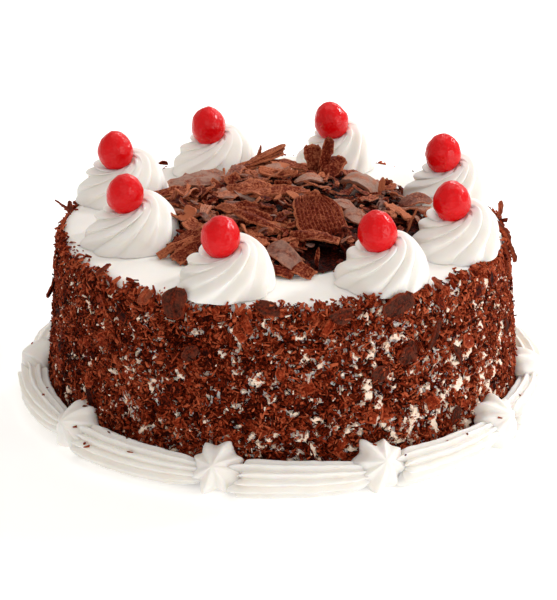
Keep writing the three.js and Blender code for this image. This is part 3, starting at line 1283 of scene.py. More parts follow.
@dataclass
class GratedSide:
    """The gratings pressed on the side: a rough bed in painted shade, and slivers, chips, curls, crumbs and
    flakes on it.

    Attributes:
        coverage: How thickly they lie.
        columns: Faces round the bed.
        sheet_depth_mm: How far the bed, or the cream between, can be raised.
        sunk_mm: How far it is sunk in the coat before that.
        sticks_from: The thickness from which the gratings stick.
        bed_from: The thickness from which the bed shows, and below which the cream between does.
        path_end: Where the flakes that stand out stop following the rim, and stand higher instead, in mm.
        marked: The flakes that stand out.
    """

    coverage: Coverage = field(default_factory=Coverage)
    columns: int = 640
    sheet_depth_mm: float = 2.8
    sunk_mm: float = 1.1
    sticks_from: float = 0.02
    bed_from: float = 0.06
    path_end: float = 79.5
    marked: tuple[WallFlake, ...] = tuple(starmap(WallFlake, (
        (243.8, 76.5, 13.5, 12.0, 84, 6, 0.30, 2.6),
        (235.5, 76.3, 8.0, 5.0, 60, 24, 0.95, 2.8),
        (298.0, 75.0, 15.0, 15.0, 20, 10, 0.22, 3.0),
        (310.8, 79.0, 6.5, 3.6, 90, 0, 0.85, 2.2),
        (350.0, 77.0, 22.0, 3.0, 88, 0, 0.5, 2.4),
        (344.0, 72.0, 15.0, 2.6, 84, 4, 0.35, 2.6),
        (315.5, 46.0, 11.0, 4.0, 118, 14, 0.1, 2.6),
        (308.2, 58.5, 14.0, 4.0, 62, 8, 0.22, 2.4),
        (300.4, 53.5, 11.0, 9.0, 40, 4, 0.28, 2.2),
        (293.3, 47.1, 10.0, 7.0, 30, 6, 0.25, 2.2),
        (340.7, 44.0, 10.5, 4.4, 92, 0, 0.02, 2.6),
        (230.1, 64.6, 8.0, 6.0, 60, 14, 0.05, 1.4),
        (283.5, 73.9, 11.0, 8.0, 10, 6, 0.3, 2.2),
        (266.4, 77.5, 11.0, 7.0, 160, 10, 0.28, 2.4),
        (219.2, 80.0, 8.0, 3.0, 84, 0, 0.55, 2.2),
        (248.0, 56.3, 9.0, 7.0, 35, 4, 0.3, 2.2),
        (314.3, 18.6, 8.0, 7.0, 70, 4, 0.08, 2.2),
        (174.0, 79.2, 9.5, 1.8, 270, 0, 0.30, 5.5, 73),
        (170.0, 79.2, 5.0, 4.5, 80, 70, 0.45, 3.0, 60),
        (188.0, 54.0, 12.0, 4.0, 300, 20, 0.15, 2.8, 32),
        # Painted light: the flake at bearing 6 has a raised tone, as if lit, though its face is turned from the
        # lights.
        (6.0, 79.2, 8.0, 4.2, 98, -62, 0.85, 4.0, 60),
        (126.0, 80.0, 6.5, 2.5, 20, 20, 0.30, 1.8, 12),
    )))

    def build(self, material: Material, cream: Material) -> None:
        """Builds the bed, the cream that is pressed out between, and every kind of grating.

        Args:
            material: The chocolate's finish.
            cream: The finish of the cream that is pressed out.
        """
        self.build_sheet("grated_bed", material, Slot.GRATED)
        self.build_sheet("cream_between", cream, Slot.CREAM)
        cuts = ((110, 0.10), (170, 0.10), (60, 0.14))
        curls = [ShavingCut(4, 1, bend, 0.09, ragged) for bend, ragged in cuts]
        curled = map(ShavingCut.model, curls, (7, 8, 9))
        kinds = (
            # name, models, how many, seed, length, width, thickness and how far some stray
            ("shreds", map(model_shred, (14, 15, 16)), 24000, 20, (1.2, 3.4), (0.4, 0.9), (0.4, 0.9), 0.1),
            ("slivers", map(model_sliver, (1, 2, 3)), 13000, 21, (1.4, 4.0), (0.5, 1.0), (0.35, 0.7), 0.07),
            ("chips", map(model_chip, (4, 5, 6)), 8000, 22, (1.1, 2.8), (0.8, 2.0), (0.3, 0.5), 0.055),
            ("curls", curled, 3600, 23, (1.8, 4.0), (0.9, 2.0), (1.8, 3.4), 0.055),
            ("crumbs", map(model_crumb, (10, 11)), 7000, 24, (0.6, 1.4), (0.5, 1.1), (0.4, 0.9), 0.08),
        )
        for name, models, *throw in kinds:
            self.lay(name, list(models), self.strew(*throw), material)
        self.lay_broad(material)
        flecks = [model_shred(17), model_sliver(18), model_crumb(19)]
        scatter = self.strew(16000, 28, length=(0.8, 2.4), width=(0.4, 0.9), thick=(0.4, 0.8))
        self.lay_flecks(flecks, scatter, cream)
        self.lay_marked(material)
        rim = [model_sliver(31), model_chip(32), ShavingCut(4, 2, 70, 0.12, 0.08).model(33)]
        self.lay("rim_bits", rim, self.stand_on_rim(1500, 26), material)
        loose = [model_sliver(34), model_chip(35), model_crumb(36)]
        self.lay("loose_bits", loose, self.drop_on_top(240, 27), material)

    def lay_broad(self, material: Material) -> None:
        """Lays broad flakes, flatter and darker than the other gratings.

        Args:
            material: Their finish.
        """
        cuts = (
            ShavingCut(8, 6, 30, 0.10, 0.035, 0.4, ridge=0.02),
            ShavingCut(8, 6, 55, 0.10, 0.035, 0.5),
            ShavingCut(8, 6, 12, 0.10, 0.030, 0.3),
        )
        models = list(map(ShavingCut.model, cuts, (12, 13, 14)))
        spans = {"length": (5.0, 10.5), "width": (3.5, 8.0), "thick": (5.0, 9.0)}
        scatter = self.strew(260, 25, **spans, stray=0.0, slant=9.0, tone=0.30)
        scatter.tone = np.minimum(scatter.tone, 0.5)
        self.lay("flakes", models, scatter, material)

    def build_sheet(self, name: str, material: Material, slot: Slot) -> None:
        """Builds a sheet along the path, which is raised in its own places and sunk in the coat elsewhere.

        Args:
            name: Its name.
            material: Its finish.
            slot: The gratings' slot for the bed under them, or the cream's for what is pressed out between.
        """
        path = np.arange(0.3, 88.0, 1.0)
        distance, height, _, _ = self.coverage.side.at(path)
        first = {"radius": distance[0] * MM, "location": (0, 0, height[0] * MM)}
        bed = new_piece(bpy.ops.mesh.primitive_circle_add, vertices=self.columns, **first)
        apply_all(bed)
        with editing(bed):
            extrude_through(list(zip(distance, height, strict=True)))
            face_outwards()
            bpy.ops.transform.vertex_random(offset=0.3 * MM, seed=41)
        co = points_of(bed)
        bearing, along = self.way_to(co)
        thickness = self.coverage.thickness(bearing, along)
        lumps = ((2.1, 61), (1.1, 62), (3.0, 63))
        coarse, fine, broad = (self.coverage.noise(bearing, along, *lump) for lump in lumps)
        rough = 0.6 * coarse + 0.4 * fine
        if slot is Slot.GRATED:
            weight = np.clip((thickness - self.bed_from) / 0.04, 0, 1) * (0.4 + 0.4 * rough)
        else:
            inside = np.clip((self.coverage.edge(bearing) - along - 1) / 2, 0, 1)
            weight = np.clip((self.bed_from - thickness) / 0.05, 0, 1) * (0.7 + 0.34 * rough) * inside
        group = bed.vertex_groups.new(name="how thick")
        steps = 50  # of the weight, because a vertex group takes one weight at a time
        levels = np.round(weight * steps).astype(int)
        for level in range(1, steps + 1):
            group.add(np.flatnonzero(levels == level).tolist(), level / steps, "REPLACE")
        for depth_mm, where in ((-self.sunk_mm, ""), (self.sheet_depth_mm, group.name)):
            shift = bed.modifiers.new("shift", "DISPLACE")
            shift.strength = depth_mm * MM
            shift.mid_level = 0
            shift.vertex_group = where
        apply_all(bed)
        with editing(bed):
            bpy.ops.mesh.fill_holes(sides=0)
            face_outwards()
            flatten_foot(bed, 0.2)
        # The bed stands for the gratings' own mass, and its low tone is painted shade between them; the cream's
        # finish doesn't read it.
        set_layers(bed.data, 0.2 * rough + 0.16 * broad, np.zeros(len(co)), co)
        only(bed)
        bpy.ops.object.shade_flat()
        hand_over(bed, name, material, slot, "cake")

    def way_to(self, co: np.ndarray) -> tuple[np.ndarray, np.ndarray]:
        """Gives the bearings of points on the side, and how far along the path they lie.

        Args:
            co: The points in mm, one row each.

        Returns:
            Their bearings in degrees, and their distances along the path.
        """
        side = self.coverage.side
        distance, height = np.hypot(co[:, 0], co[:, 1]), co[:, 2]
        angle = np.arctan2(height - side.shoulder, distance - side.rim + side.rounding)
        rounded = side.wall + side.rounding * np.clip(angle, 0, math.pi / 2)
        inwards = side.top + side.rim - side.rounding - distance
        past_wall = np.where(distance < side.rim - side.rounding, inwards, rounded)
        path = np.where(height < side.shoulder, height / side.shoulder * side.wall, past_wall)
        return np.degrees(np.arctan2(co[:, 1], co[:, 0])) % 360, path

    def frame_at(
        self, bearing: np.ndarray, path: np.ndarray, lift: np.ndarray, heading: np.ndarray
    ) -> tuple[np.ndarray, np.ndarray]:
        """Gives places on the side and axes that lie flat on it.

        Args:
            bearing: In degrees.
            path: Distances along the path.
            lift: Distances off the cream in mm.
            heading: Of each copy's X, in degrees up from level.

        Returns:
            The places in metres, and the axes.
        """
        distance, height, out, up = self.coverage.side.at(path)
        cos, sin = np.cos(np.radians(bearing)), np.sin(np.radians(bearing))
        normal = np.stack([out * cos, out * sin, up], axis=1)
        level = np.stack([-sin, cos, np.zeros_like(cos)], axis=1)
        climb = np.stack([-up * cos, -up * sin, out], axis=1)
        place = np.stack([distance * cos, distance * sin, height], axis=1) + normal * lift[:, None]
        turned = np.radians(heading)[:, None]
        return place * MM, axes_along(normal, np.cos(turned) * level + np.sin(turned) * climb)

    def strew(
        self,
        count: int,
        seed: int,
        length: tuple[float, float],
        width: tuple[float, float],
        thick: tuple[float, float],
        stray: float = 0.055,
        slant: float = 34.0,
        tone: float = 0.44,
    ) -> Scatter:
        """Strews copies over the covered parts of the side.

        Args:
            count: How many are thrown; the ones on bare cream don't stick.
            seed: Of the throw.
            length: Least and most length in mm.
            width: Least and most width in mm.
            thick: Least and most scale across the copy in mm.
            stray: How far into the bare places some may lie.
            slant: How far they stand off the side, in degrees.
            tone: Their middle tone.

        Returns:
            Their places.
        """
        rng = np.random.default_rng(seed)
        bearing, path = rng.uniform(0, 360, count), rng.uniform(0.8, 84, count)
        thickness = self.coverage.thickness(bearing, path)
        stuck = thickness > self.sticks_from + rng.normal(0, stray, count)
        bearing, path, thickness = bearing[stuck], path[stuck], thickness[stuck]
        count = len(bearing)
        size = draw_sizes(rng, count, length, width, thick)
        lift = rng.uniform(0.7, 1.3, count)
        heaped = np.clip((thickness - self.sticks_from) / 0.12, 0, 1)
        lift += heaped * rng.uniform(-0.3, 1.5, count)
        place, axes = self.frame_at(bearing, path, lift, rng.uniform(0, 360, count))
        axes = spun(spun(axes, rng.normal(0, slant, count), 0), rng.normal(0, slant * 0.7, count), 1)
        patch = self.coverage.noise(bearing, path, 7.0, 64) - 0.5
        # Painted light: the gratings are made lighter towards bearing 345, the side that the lights fall on.
        turned = 0.17 * np.clip(np.cos(np.radians(bearing + 15)), 0, 1) ** 3
        shade = np.clip(tone + turned + 0.55 * patch + rng.normal(0, 0.3, count), 0, 1)
        return Scatter(place, axes, size, shade, rng.integers(0, 3, count))

    def lay_flecks(self, models: Sequence[Object], scatter: Scatter, cream: Material) -> None:
        """Lays flecks of cream that the gratings pulled out, around the places where the coat shows.

        Args:
            models: The modelled flecks.
            scatter: Their places.
            cream: Their finish.
        """
        thickness = self.coverage.thickness(*self.way_to(scatter.place / MM))
        chance = np.exp(-(((thickness - 0.05) / 0.07) ** 2)) * 0.38 + 0.03
        kept = np.random.default_rng(29).random(len(chance)) < chance
        bits = scatter.kept(kept).joined("cream_flecks", models, LOWEST)
        hand_over(bits, "cream_flecks", cream, Slot.CREAM, "cake")

    def stand_on_rim(self, count: int, seed: int) -> Scatter:
        """Stands slivers, chips and small curls on the rim, where the gratings end.

        Args:
            count: How many.
            seed: Of their places.

        Returns:
            Their places.
        """
        rng = np.random.default_rng(seed)
        bearing = rng.uniform(0, 360, count)
        path = self.coverage.edge(bearing) + rng.normal(-0.5, 1.3, count)
        place, axes = self.frame_at(bearing, path, rng.uniform(0.5, 2.0, count), rng.normal(90, 38, count))
        axes = spun(spun(axes, rng.normal(20, 26, count), 1), rng.normal(0, 40, count), 0)
        size = draw_sizes(rng, count, (1.8, 5.2), (0.7, 2.4), (0.5, 0.9))
        pick = rng.integers(0, 3, count)
        size[pick == 2, 2] = size[pick == 2, 0]
        return Scatter(place, axes, size, np.clip(rng.normal(0.5, 0.24, count), 0.2, 1), pick)

    def drop_on_top(self, count: int, seed: int) -> Scatter:
        """Drops a few bits on the top, just inside the rim.

        Args:
            count: How many.
            seed: Of their places.

        Returns:
            Their places.
        """
        rng = np.random.default_rng(seed)
        bearing = rng.uniform(0, 360, count)
        path = self.coverage.edge(bearing) + 1 + rng.exponential(2.0, count)
        place, axes = self.frame_at(bearing, path, rng.uniform(0.2, 0.5, count), rng.uniform(0, 360, count))
        size = draw_sizes(rng, count, (0.8, 2.8), (0.5, 1.4), (0.4, 0.7))
        tone = np.clip(rng.normal(0.55, 0.2, count), 0, 1)
        return Scatter(place, axes, size, tone, rng.integers(0, 3, count))

    def lay_marked(self, material: Material) -> None:
        """Lays the flakes that stand out, each at its own place.

        Args:
            material: Their finish.
        """
        table = np.array([astuple(flake) for flake in self.marked])
        bearing, height, length, width, heading, tilt, tone, lift, pitch = table.T
        path = height / self.coverage.side.shoulder * self.coverage.side.wall
        place, axes = self.frame_at(bearing, np.minimum(path, self.path_end), lift, heading)
        place[:, 2] += np.maximum(0, path - self.path_end) * MM
        axes = spun(spun(axes, -pitch, 1), tilt, 0)
        size = np.stack([length, width, length], axis=1)
        cut = ShavingCut(14, 10, 30, 0.07, 0.03, 0.35, 0, 0.12, 0.75)
        models = [cut.model(seed) for seed in range(51, 51 + len(table))]
        # Painted sheen: their smooth faces get the grey sheen colour.
        sheen = np.full(len(table), 0.8)
        scatter = Scatter(place, axes, size, 0.75 * tone, np.arange(len(table)), sheen)
        self.lay("marked_flakes", models, scatter, material)

    def lay(self, name: str, models: Sequence[Object], scatter: Scatter, material: Material) -> None:
        """Joins copies and hands them over.

        Args:
            name: Their kind.
            models: The modelled pieces.
            scatter: Their places.
            material: Their finish.
        """
        scatter.pick %= len(models)
        bits = scatter.joined("grated_" + name, models, LOWEST)
        hand_over(bits, "grated_" + name, material, Slot.GRATED, "cake")


class Cut(Enum):
    """The ways in which a shaving that stands out is cut."""

    SHEET = ShavingCut(14, 9, 34, 0.045, 0.03, 0.45, 0.0, 0.14)
    RIDGED = ShavingCut(12, 24, 34, 0.04, 0.02, 0.4, 0.032, 0.08, 0.4)
    LENS = ShavingCut(14, 9, 90, 0.05, 0.012, 0.25, 0.0, 0.05, 1.0)
    SPLINTER = ShavingCut(14, 6, 12, 0.03, 0.012, 0.3, 0.0, 0.04, 0.9)
    FLAKE = ShavingCut(10, 9, 20, 0.09, 0.06, 0.4, 0.0, 0.16, 0.4)
    SHARD = ShavingCut(12, 7, 24, 0.05, 0.05, 0.5, 0.0, 0.16, 0.85)
    ROLL = ShavingCut(16, 9, 170, 0.06, 0.02, 0.25, 0.0, 0.04, 0.7)


@dataclass(frozen=True)
class HeapShaving:
    """A shaving that stands out in the heap.

    Attributes:
        cut: How it is cut.
        bearing: Of its middle.
        distance: Of its middle from the axis, in mm.
        height: Of its middle above the cake's top, in mm.
        length: In mm.
        width: In mm.
        heading: Bearing that its length points to.
        pitch: Degrees that its far end is raised by.
        roll: Degrees that it is rolled by about its length.
        tone: How light it is.
        sheen: How much painted grey sheen its outer face has.
    """

    cut: Cut
    bearing: float
    distance: float
    height: float
    length: float
    width: float
    heading: float
    pitch: float
    roll: float
    tone: float
    sheen: float = 0.0


@dataclass
class ShavingHeap:
    """The heap of chocolate shavings on the top: a core in painted shade, broad shavings in layers and fine
    bits.

    Attributes:
        radius: In mm.
        height: In mm.
        top: Height of the cake's top.
        core_share: Height of the core, as a share of the heap's.
        slope: Degrees that its edge falls off by.
        flipped: The share of the shavings that lie with their hollow side up.
        darkening: How much darker the tone is painted, as shade, with each mm below the heap's surface.
        keep_out: Middles and radii of the rosettes, where no shaving lies.
        cleared: Places kept free for the shavings that stand out: bearing, distance, radius, and the share of
            the heap's height below which shavings still lie there.
        marked: The shavings that stand out.
    """

    radius: float = 68.0
    height: float = 12.5
    top: float = 79.0
    core_share: float = 0.28
    slope: float = 38.0
    flipped: float = 0.35
    darkening: float = 0.16
    keep_out: list[tuple[Vector, float]] = field(default_factory=list)
    cleared: tuple[tuple[float, float, float, float], ...] = (
        (31, 43, 9, 0.6),
        (300, 36, 9, 0.7),
        (333, 28, 4, 0.7),
        (318, 41, 5, 0.7),
        (140, 52, 8, 0.7),
        (272, 64, 6, 0.7),
        (5, 59, 6, 0.5),
        (288, 57, 8, 0.0),
        (343, 61, 7, 0.0),
    )
    marked: tuple[HeapShaving, ...] = tuple(starmap(HeapShaving, (
        (Cut.SPLINTER, 103, 56, 9.8, 22, 10, 8, 9, 4, 0.4),
        (Cut.SPLINTER, 102, 57, 11.2, 22, 8, 12, 14, -6, 0.15),
        (Cut.SPLINTER, 100, 55, 12.4, 21, 8, 4, 19, 4, 0.5),
        (Cut.SPLINTER, 99, 56, 13.7, 21, 7, 6, 23, 10, 0.3),
        (Cut.SPLINTER, 98, 56, 15.0, 20, 6, 6, 26, 10, 0.55),
        (Cut.SHARD, 101, 60, 12.4, 13, 5, 300, 68, 0, 0.5),
        (Cut.SHEET, 86, 54, 10.5, 18, 9, 350, -10, 0, 0.35),
        (Cut.FLAKE, 74, 52, 14.2, 13, 10, 92, 72, 0, 0.35),
        (Cut.SHARD, 66, 50, 16.0, 20, 8, 60, 62, 30, 0.2),
        (Cut.FLAKE, 61, 49, 12.6, 13, 12, 40, 30, 10, 0.25),
        (Cut.ROLL, 32, 41, 14.0, 32, 9.5, 320, -5, 14, 0.85, 1.25),
        (Cut.SPLINTER, 16, 47, 13.2, 8.5, 3.6, 60, 74, 0, 0.8),
        (Cut.SHEET, 4, 57, 6.2, 20, 10, 350, 4, -8, 0.5, 0.8),
        (Cut.LENS, 6, 61, 9.6, 17, 9, 10, 4, 24, 0.25, 0.45),
        (Cut.RIDGED, 300, 34, 15.0, 26, 28, 294, -30, -4, 0.3),
        (Cut.LENS, 331, 30, 14.8, 19, 7, 330, -6, 10, 0.45, 1.0),
        (Cut.LENS, 321, 42, 13.2, 19, 8, 325, -12, 24, 0.5, 1.0),
        (Cut.SHEET, 287, 47, 10.5, 22, 7, 350, -4, 20, 0.35),
        (Cut.LENS, 271, 60, 6.6, 24, 11, 318, -20, 30, 0.3, 0.8),
        (Cut.SHEET, 275, 65, 3.4, 17, 8, 325, -8, 30, 0.3),
        (Cut.SHEET, 268, 66, 2.2, 14, 7, 345, -4, 20, 0.15),
        (Cut.SHARD, 284, 60, 5.0, 10, 3, 80, 60, 0, 0.2),
        (Cut.SHEET, 255, 34, 14.2, 27, 11, 335, -14, 14, 0.26),
        (Cut.SHEET, 235, 24, 14.6, 22, 9, 350, -4, 20, 0.26),
        (Cut.RIDGED, 222, 56, 7.8, 20, 15, 215, -18, 10, 0.3),
        (Cut.SHEET, 176, 34, 15.2, 12, 8, 290, 36, 36, 0.6),
        (Cut.LENS, 178, 42, 14.0, 14, 8, 250, 26, 50, 0.4, 0.8),
        (Cut.LENS, 192, 52, 10.0, 17, 12, 200, -10, 10, 0.4, 0.9),
        (Cut.SHEET, 140, 52, 10.2, 27, 15, 20, 4, 4, 0.4, 1.0),
        (Cut.SHEET, 160, 56, 8.5, 20, 7, 8, 6, 24, 0.36),
        (Cut.SHEET, 158, 17, 15.0, 21, 13, 350, 4, 14, 0.46),
        (Cut.SHEET, 130, 6, 14.0, 32, 9, 0, 2, 10, 0.36),
        (Cut.LENS, 62, 26, 14.2, 15, 7, 0, 2, 12, 0.6, 1.0),
        (Cut.SPLINTER, 342, 60, 7.4, 14, 1.6, 20, 66, 0, 0.75),
    )))

    def dome(self, distance: np.ndarray) -> np.ndarray:
        """Gives the heap's height above the top, at distances in mm from the axis."""
        return self.height * (1 - np.clip(distance / self.radius, 0, 1) ** 4)

    def build(self, material: Material) -> None:
        """Builds the core, the layers and the bits.

        Args:
            material: Their finish.
        """
        self.build_core(material)
        sheets = (
            ShavingCut(14, 8, 34, 0.045, 0.040, 0.45, 0.012, 0.10, 0.25),
            ShavingCut(14, 8, 60, 0.050, 0.025, 0.35, 0.016, 0.08, 0.7),
            ShavingCut(12, 7, 16, 0.050, 0.045, 0.50, 0, 0.13, 0.1),
            ShavingCut(12, 7, 46, 0.050, 0.050, 0.55, 0, 0.12, 0.4),
        )
        models = list(map(ShavingCut.model, sheets + sheets[:2], range(71, 77)))
        scatter = self.layers(230, 81, length=(11, 24), width=(5, 11), slant=11.0)
        self.lay("broad_shavings", models, scatter, material)
        models = [ShavingCut(8, 5, 40, 0.06, 0.04, 0.4, 0, 0.1, 0.7).model(seed) for seed in (75, 76, 77)]
        scatter = self.layers(420, 84, length=(5, 12), width=(3, 6), slant=16.0)
        self.lay("small_shavings", models, scatter, material)
        rolls = (
            ShavingCut(12, 4, 150, 0.06, 0.03, 0.4),
            ShavingCut(14, 4, 260, 0.06, 0.03, 0.4),
            ShavingCut(10, 4, 90, 0.07, 0.04, 0.5),
        )
        models = list(map(ShavingCut.model, rolls, (91, 92, 93)))
        scatter = self.layers(36, 82, length=(9, 16), width=(6, 12), slant=12.0)
        self.lay("rolled_shavings", models, scatter, material)
        models = [ShavingCut(6, 2, 40, 0.08, 0.07, 0.5).model(95), model_sliver(96), model_chip(97)]
        scatter = self.layers(1000, 83, length=(2.0, 7.0), width=(1.0, 3.0), slant=24.0)
        scatter.size[scatter.pick % 3 > 0, 2] = 0.9  # slivers and chips are as thick as this in mm
        self.lay("shaving_bits", models, scatter, material)
        self.lay_marked(material)

    def lay_marked(self, material: Material) -> None:
        """Lays the shavings that stand out, each at its own place.

        Args:
            material: Their finish.
        """
        table = np.array([astuple(shaving)[1:] for shaving in self.marked])
        bearing, distance, height, length, width, heading, pitch, roll, tone, sheen = table.T
        bearing, heading, pitch = np.radians(bearing), np.radians(heading), np.radians(pitch)
        place = np.stack([distance * np.cos(bearing), distance * np.sin(bearing), self.top + height], axis=1)
        level, steep = np.cos(pitch), np.sin(pitch)
        along = np.stack([level * np.cos(heading), level * np.sin(heading), steep], axis=1)
        over = np.stack([-steep * np.cos(heading), -steep * np.sin(heading), level], axis=1)
        axes = spun(axes_along(over, along), roll, 0)
        size = np.stack([length, width, length], axis=1)
        models = [shaving.cut.value.model(111 + number) for number, shaving in enumerate(self.marked)]
        scatter = Scatter(place * MM, axes, size, tone, np.arange(len(table)), sheen)
        self.lay("marked_shavings", models, scatter, material)

    def build_core(self, material: Material) -> None:
        """Builds the core that fills the heap below its shavings, painted dark as the shade deep in the heap.

        Args:
            material: Its finish.
        """
        foot = {"radius": self.radius * 0.97 * MM, "location": (0, 0, (self.top + 0.2) * MM)}
        core = new_piece(bpy.ops.mesh.primitive_circle_add, vertices=160, **foot)
        apply_all(core)
        shares = (1.0, 0.97, 0.93, 0.88, 0.82, 0.74, 0.64, 0.52, 0.4, 0.28, 0.16, 0.06)
        rings = [(share, self.core_share * float(self.dome(share * self.radius))) for share in shares]
        with editing(core):
            extrude_through(rings)
            bpy.ops.mesh.merge(type="CENTER")
            bpy.ops.mesh.select_non_manifold()
            bpy.ops.mesh.edge_face_add()
            face_outwards()
        soften(core, 5, 4.0)
        co = points_of(core)
        # Painted shade: the core's tone is near the darkest.
        set_layers(core.data, np.full(len(co), 0.1), np.zeros(len(co)), co)
        only(core)
        bpy.ops.object.shade_flat()
        hand_over(core, "heap_core", material, Slot.SHAVED, "shaving_heap")

    def layers(
        self, count: int, seed: int, length: tuple[float, float], width: tuple[float, float], slant: float
    ) -> Scatter:
        """Lays copies over the core, nearly flat, one on another.

        Args:
            count: How many are thrown; the ones that would lie in a rosette are left out.
            seed: Of the throw.
            length: Least and most length in mm.
            width: Least and most width in mm.
            slant: How unevenly they lie, in degrees.

        Returns:
            Their places.
        """
        rng = np.random.default_rng(seed)
        distance = self.radius * np.sqrt(rng.uniform(0, 1, count))
        bearing = rng.uniform(0, 2 * math.pi, count)
        middle = np.stack([distance * np.cos(bearing), distance * np.sin(bearing)], axis=1)
        size = draw_sizes(rng, count, length, width)
        layer = rng.uniform(0.25, 1.12, count)
        height = self.top + self.dome(distance) * layer + 0.4
        slope = np.radians(self.slope) * np.clip(distance / self.radius, 0, 1) ** 4
        out, up = np.sin(slope), np.cos(slope)
        normal = np.stack([out * np.cos(bearing), out * np.sin(bearing), up], axis=1)
        heading = rng.uniform(0, 2 * math.pi, count)
        along = np.stack([np.cos(heading), np.sin(heading), np.zeros(count)], axis=1)
        axes = spun(axes_along(normal, along), rng.normal(0, slant, count), 0)
        axes = spun(axes, rng.normal(0, slant, count), 1)
        axes = spun(axes, np.where(rng.random(count) < self.flipped, 180.0, 0.0), 0)
        place = np.column_stack([middle, height]) * MM
        size = np.column_stack([size, size[:, 0]])
        tone = np.clip(rng.normal(0.33, 0.27, count), 0.04, 1)
        # Painted sheen: some shavings get a grey sheen on their outer face.
        sheen = (rng.random(count) < 0.38) * rng.uniform(0.3, 0.95, count)
        reaches = 0.30 * size[:, 0]
        free = distance + reaches < self.radius + 2
        clear = [(polar(at, far), reach, above) for at, far, reach, above in self.cleared]
        clear += [(centre / MM, reach, 0.0) for centre, reach in self.keep_out]
        for centre, reach, above in clear:
            gap = np.hypot(middle[:, 0] - centre.x, middle[:, 1] - centre.y)
            free &= (gap > reach + reaches) | (layer < above)
        return Scatter(place, axes, size, tone, rng.integers(0, 6, count), sheen).kept(free)

    def lay(self, name: str, models: Sequence[Object], scatter: Scatter, material: Material) -> None:
        """Joins copies, darkens what lies deep in the heap, where little light comes, and hands them over.

        Args:
            name: Their kind.
            models: The modelled pieces.
            scatter: Their places.
            material: Their finish.
        """
        scatter.pick %= len(models)
        heap = scatter.joined("heap_" + name, models, (self.top + 0.1) * MM)
        co = points_of(heap)
        below = self.top + self.dome(np.hypot(co[:, 0], co[:, 1])) - co[:, 2]
        layer = heap.data.attributes["tone"].data
        tone = Scatter.read(layer, "value", 1, np.float32).ravel()
        tone = tone - np.clip(self.darkening * (below - 1.2), -0.25, 0.6)
        layer.foreach_set("value", tone.astype(np.float32))
        hand_over(heap, "heap_" + name, material, Slot.SHAVED, "shaving_heap")


# ---- Cream and fruit on the top ----


@dataclass
class Single:
    """A piece that stands for one solid.

    Attributes:
        node: The solid.
        number: Its number.
    """

    node: str
    number: int


@dataclass
class Rosette(Single):
    """A rosette: cream piped round and up through a star nozzle, so that its ridges wind in to the middle.

    Attributes:
        flutes: How many ridges it has.
        lean: How much its rings tilt towards one side, the more so the higher they are.
        lean_bearing: Which side that is.
        sunk_mm: How far its foot stands in the coat.
        profile: For each ring its radius and height, as shares of the solid's, its groove's share of the
            radius, and degrees that it is turned by from the ring before.
    """

    flutes: int = 9
    lean: float = 0.42
    lean_bearing: float = 50.0
    sunk_mm: float = 1.0
    profile: tuple[tuple[float, float, float, float], ...] = (
        (1.09, 0.00, 0.95, 0),
        (1.10, 0.07, 0.92, 3),
        (1.09, 0.17, 0.89, 4),
        (1.07, 0.29, 0.86, 6),
        (1.03, 0.41, 0.83, 8),
        (0.97, 0.53, 0.80, 11),
        (0.89, 0.63, 0.76, 14),
        (0.79, 0.72, 0.72, 17),
        (0.68, 0.79, 0.68, 20),
        (0.57, 0.83, 0.66, 22),
        (0.46, 0.83, 0.70, 24),
        (0.33, 0.79, 0.80, 26),
        (0.16, 0.76, 0.88, 20),
    )

    def build(self, material: Material) -> None:
        """Builds the rosette where its solid stands.

        Args:
            material: Its finish.
        """
        rng = np.random.default_rng(100 + self.number)
        low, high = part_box(self.node)
        middle, radius = (low + high) / 2, (high.x - low.x + high.y - low.y) / 4
        tall = (high.z - low.z) / (1 + self.lean * 0.2) + self.sunk_mm * MM
        twist = rng.uniform(0.92, 1.08)
        share, _, groove, _ = self.profile[0]
        cream = Piping(self.flutes, Ring(share * radius, groove))
        cream.make_uneven(rng, 6, (Piping.RIDGE, 0.95, 1.04), (Piping.GROOVE, 0.97, 1.1))
        for (_, below, _, _), (share, height, groove, change) in pairwise(self.profile):
            step = (0, 0, (height - below) * tall)
            change *= twist * rng.uniform(0.9, 1.1)
            cream.go_on(Ring(share * radius, groove + rng.uniform(-0.01, 0.01), step, change))
        for ring in range(1, len(self.profile)):
            centre = cream.middles[ring]
            cream.select_ring(ring)
            slope = math.degrees(math.atan(self.lean * centre.z / radius))
            turn(-slope, "Y", centre)
        cream.select_ring(len(self.profile) - 1)
        swirl = cream.close()
        swirl.rotation_euler.z = math.radians(self.lean_bearing + rng.uniform(-8, 8))
        swirl.location = (middle.x, middle.y, low.z - self.sunk_mm * MM)
        soften(swirl, 9, 1.4, rounds=2)
        bpy.ops.object.shade_smooth()
        hand_over(swirl, f"swirl_{self.number}", material, Slot.CREAM, self.node)


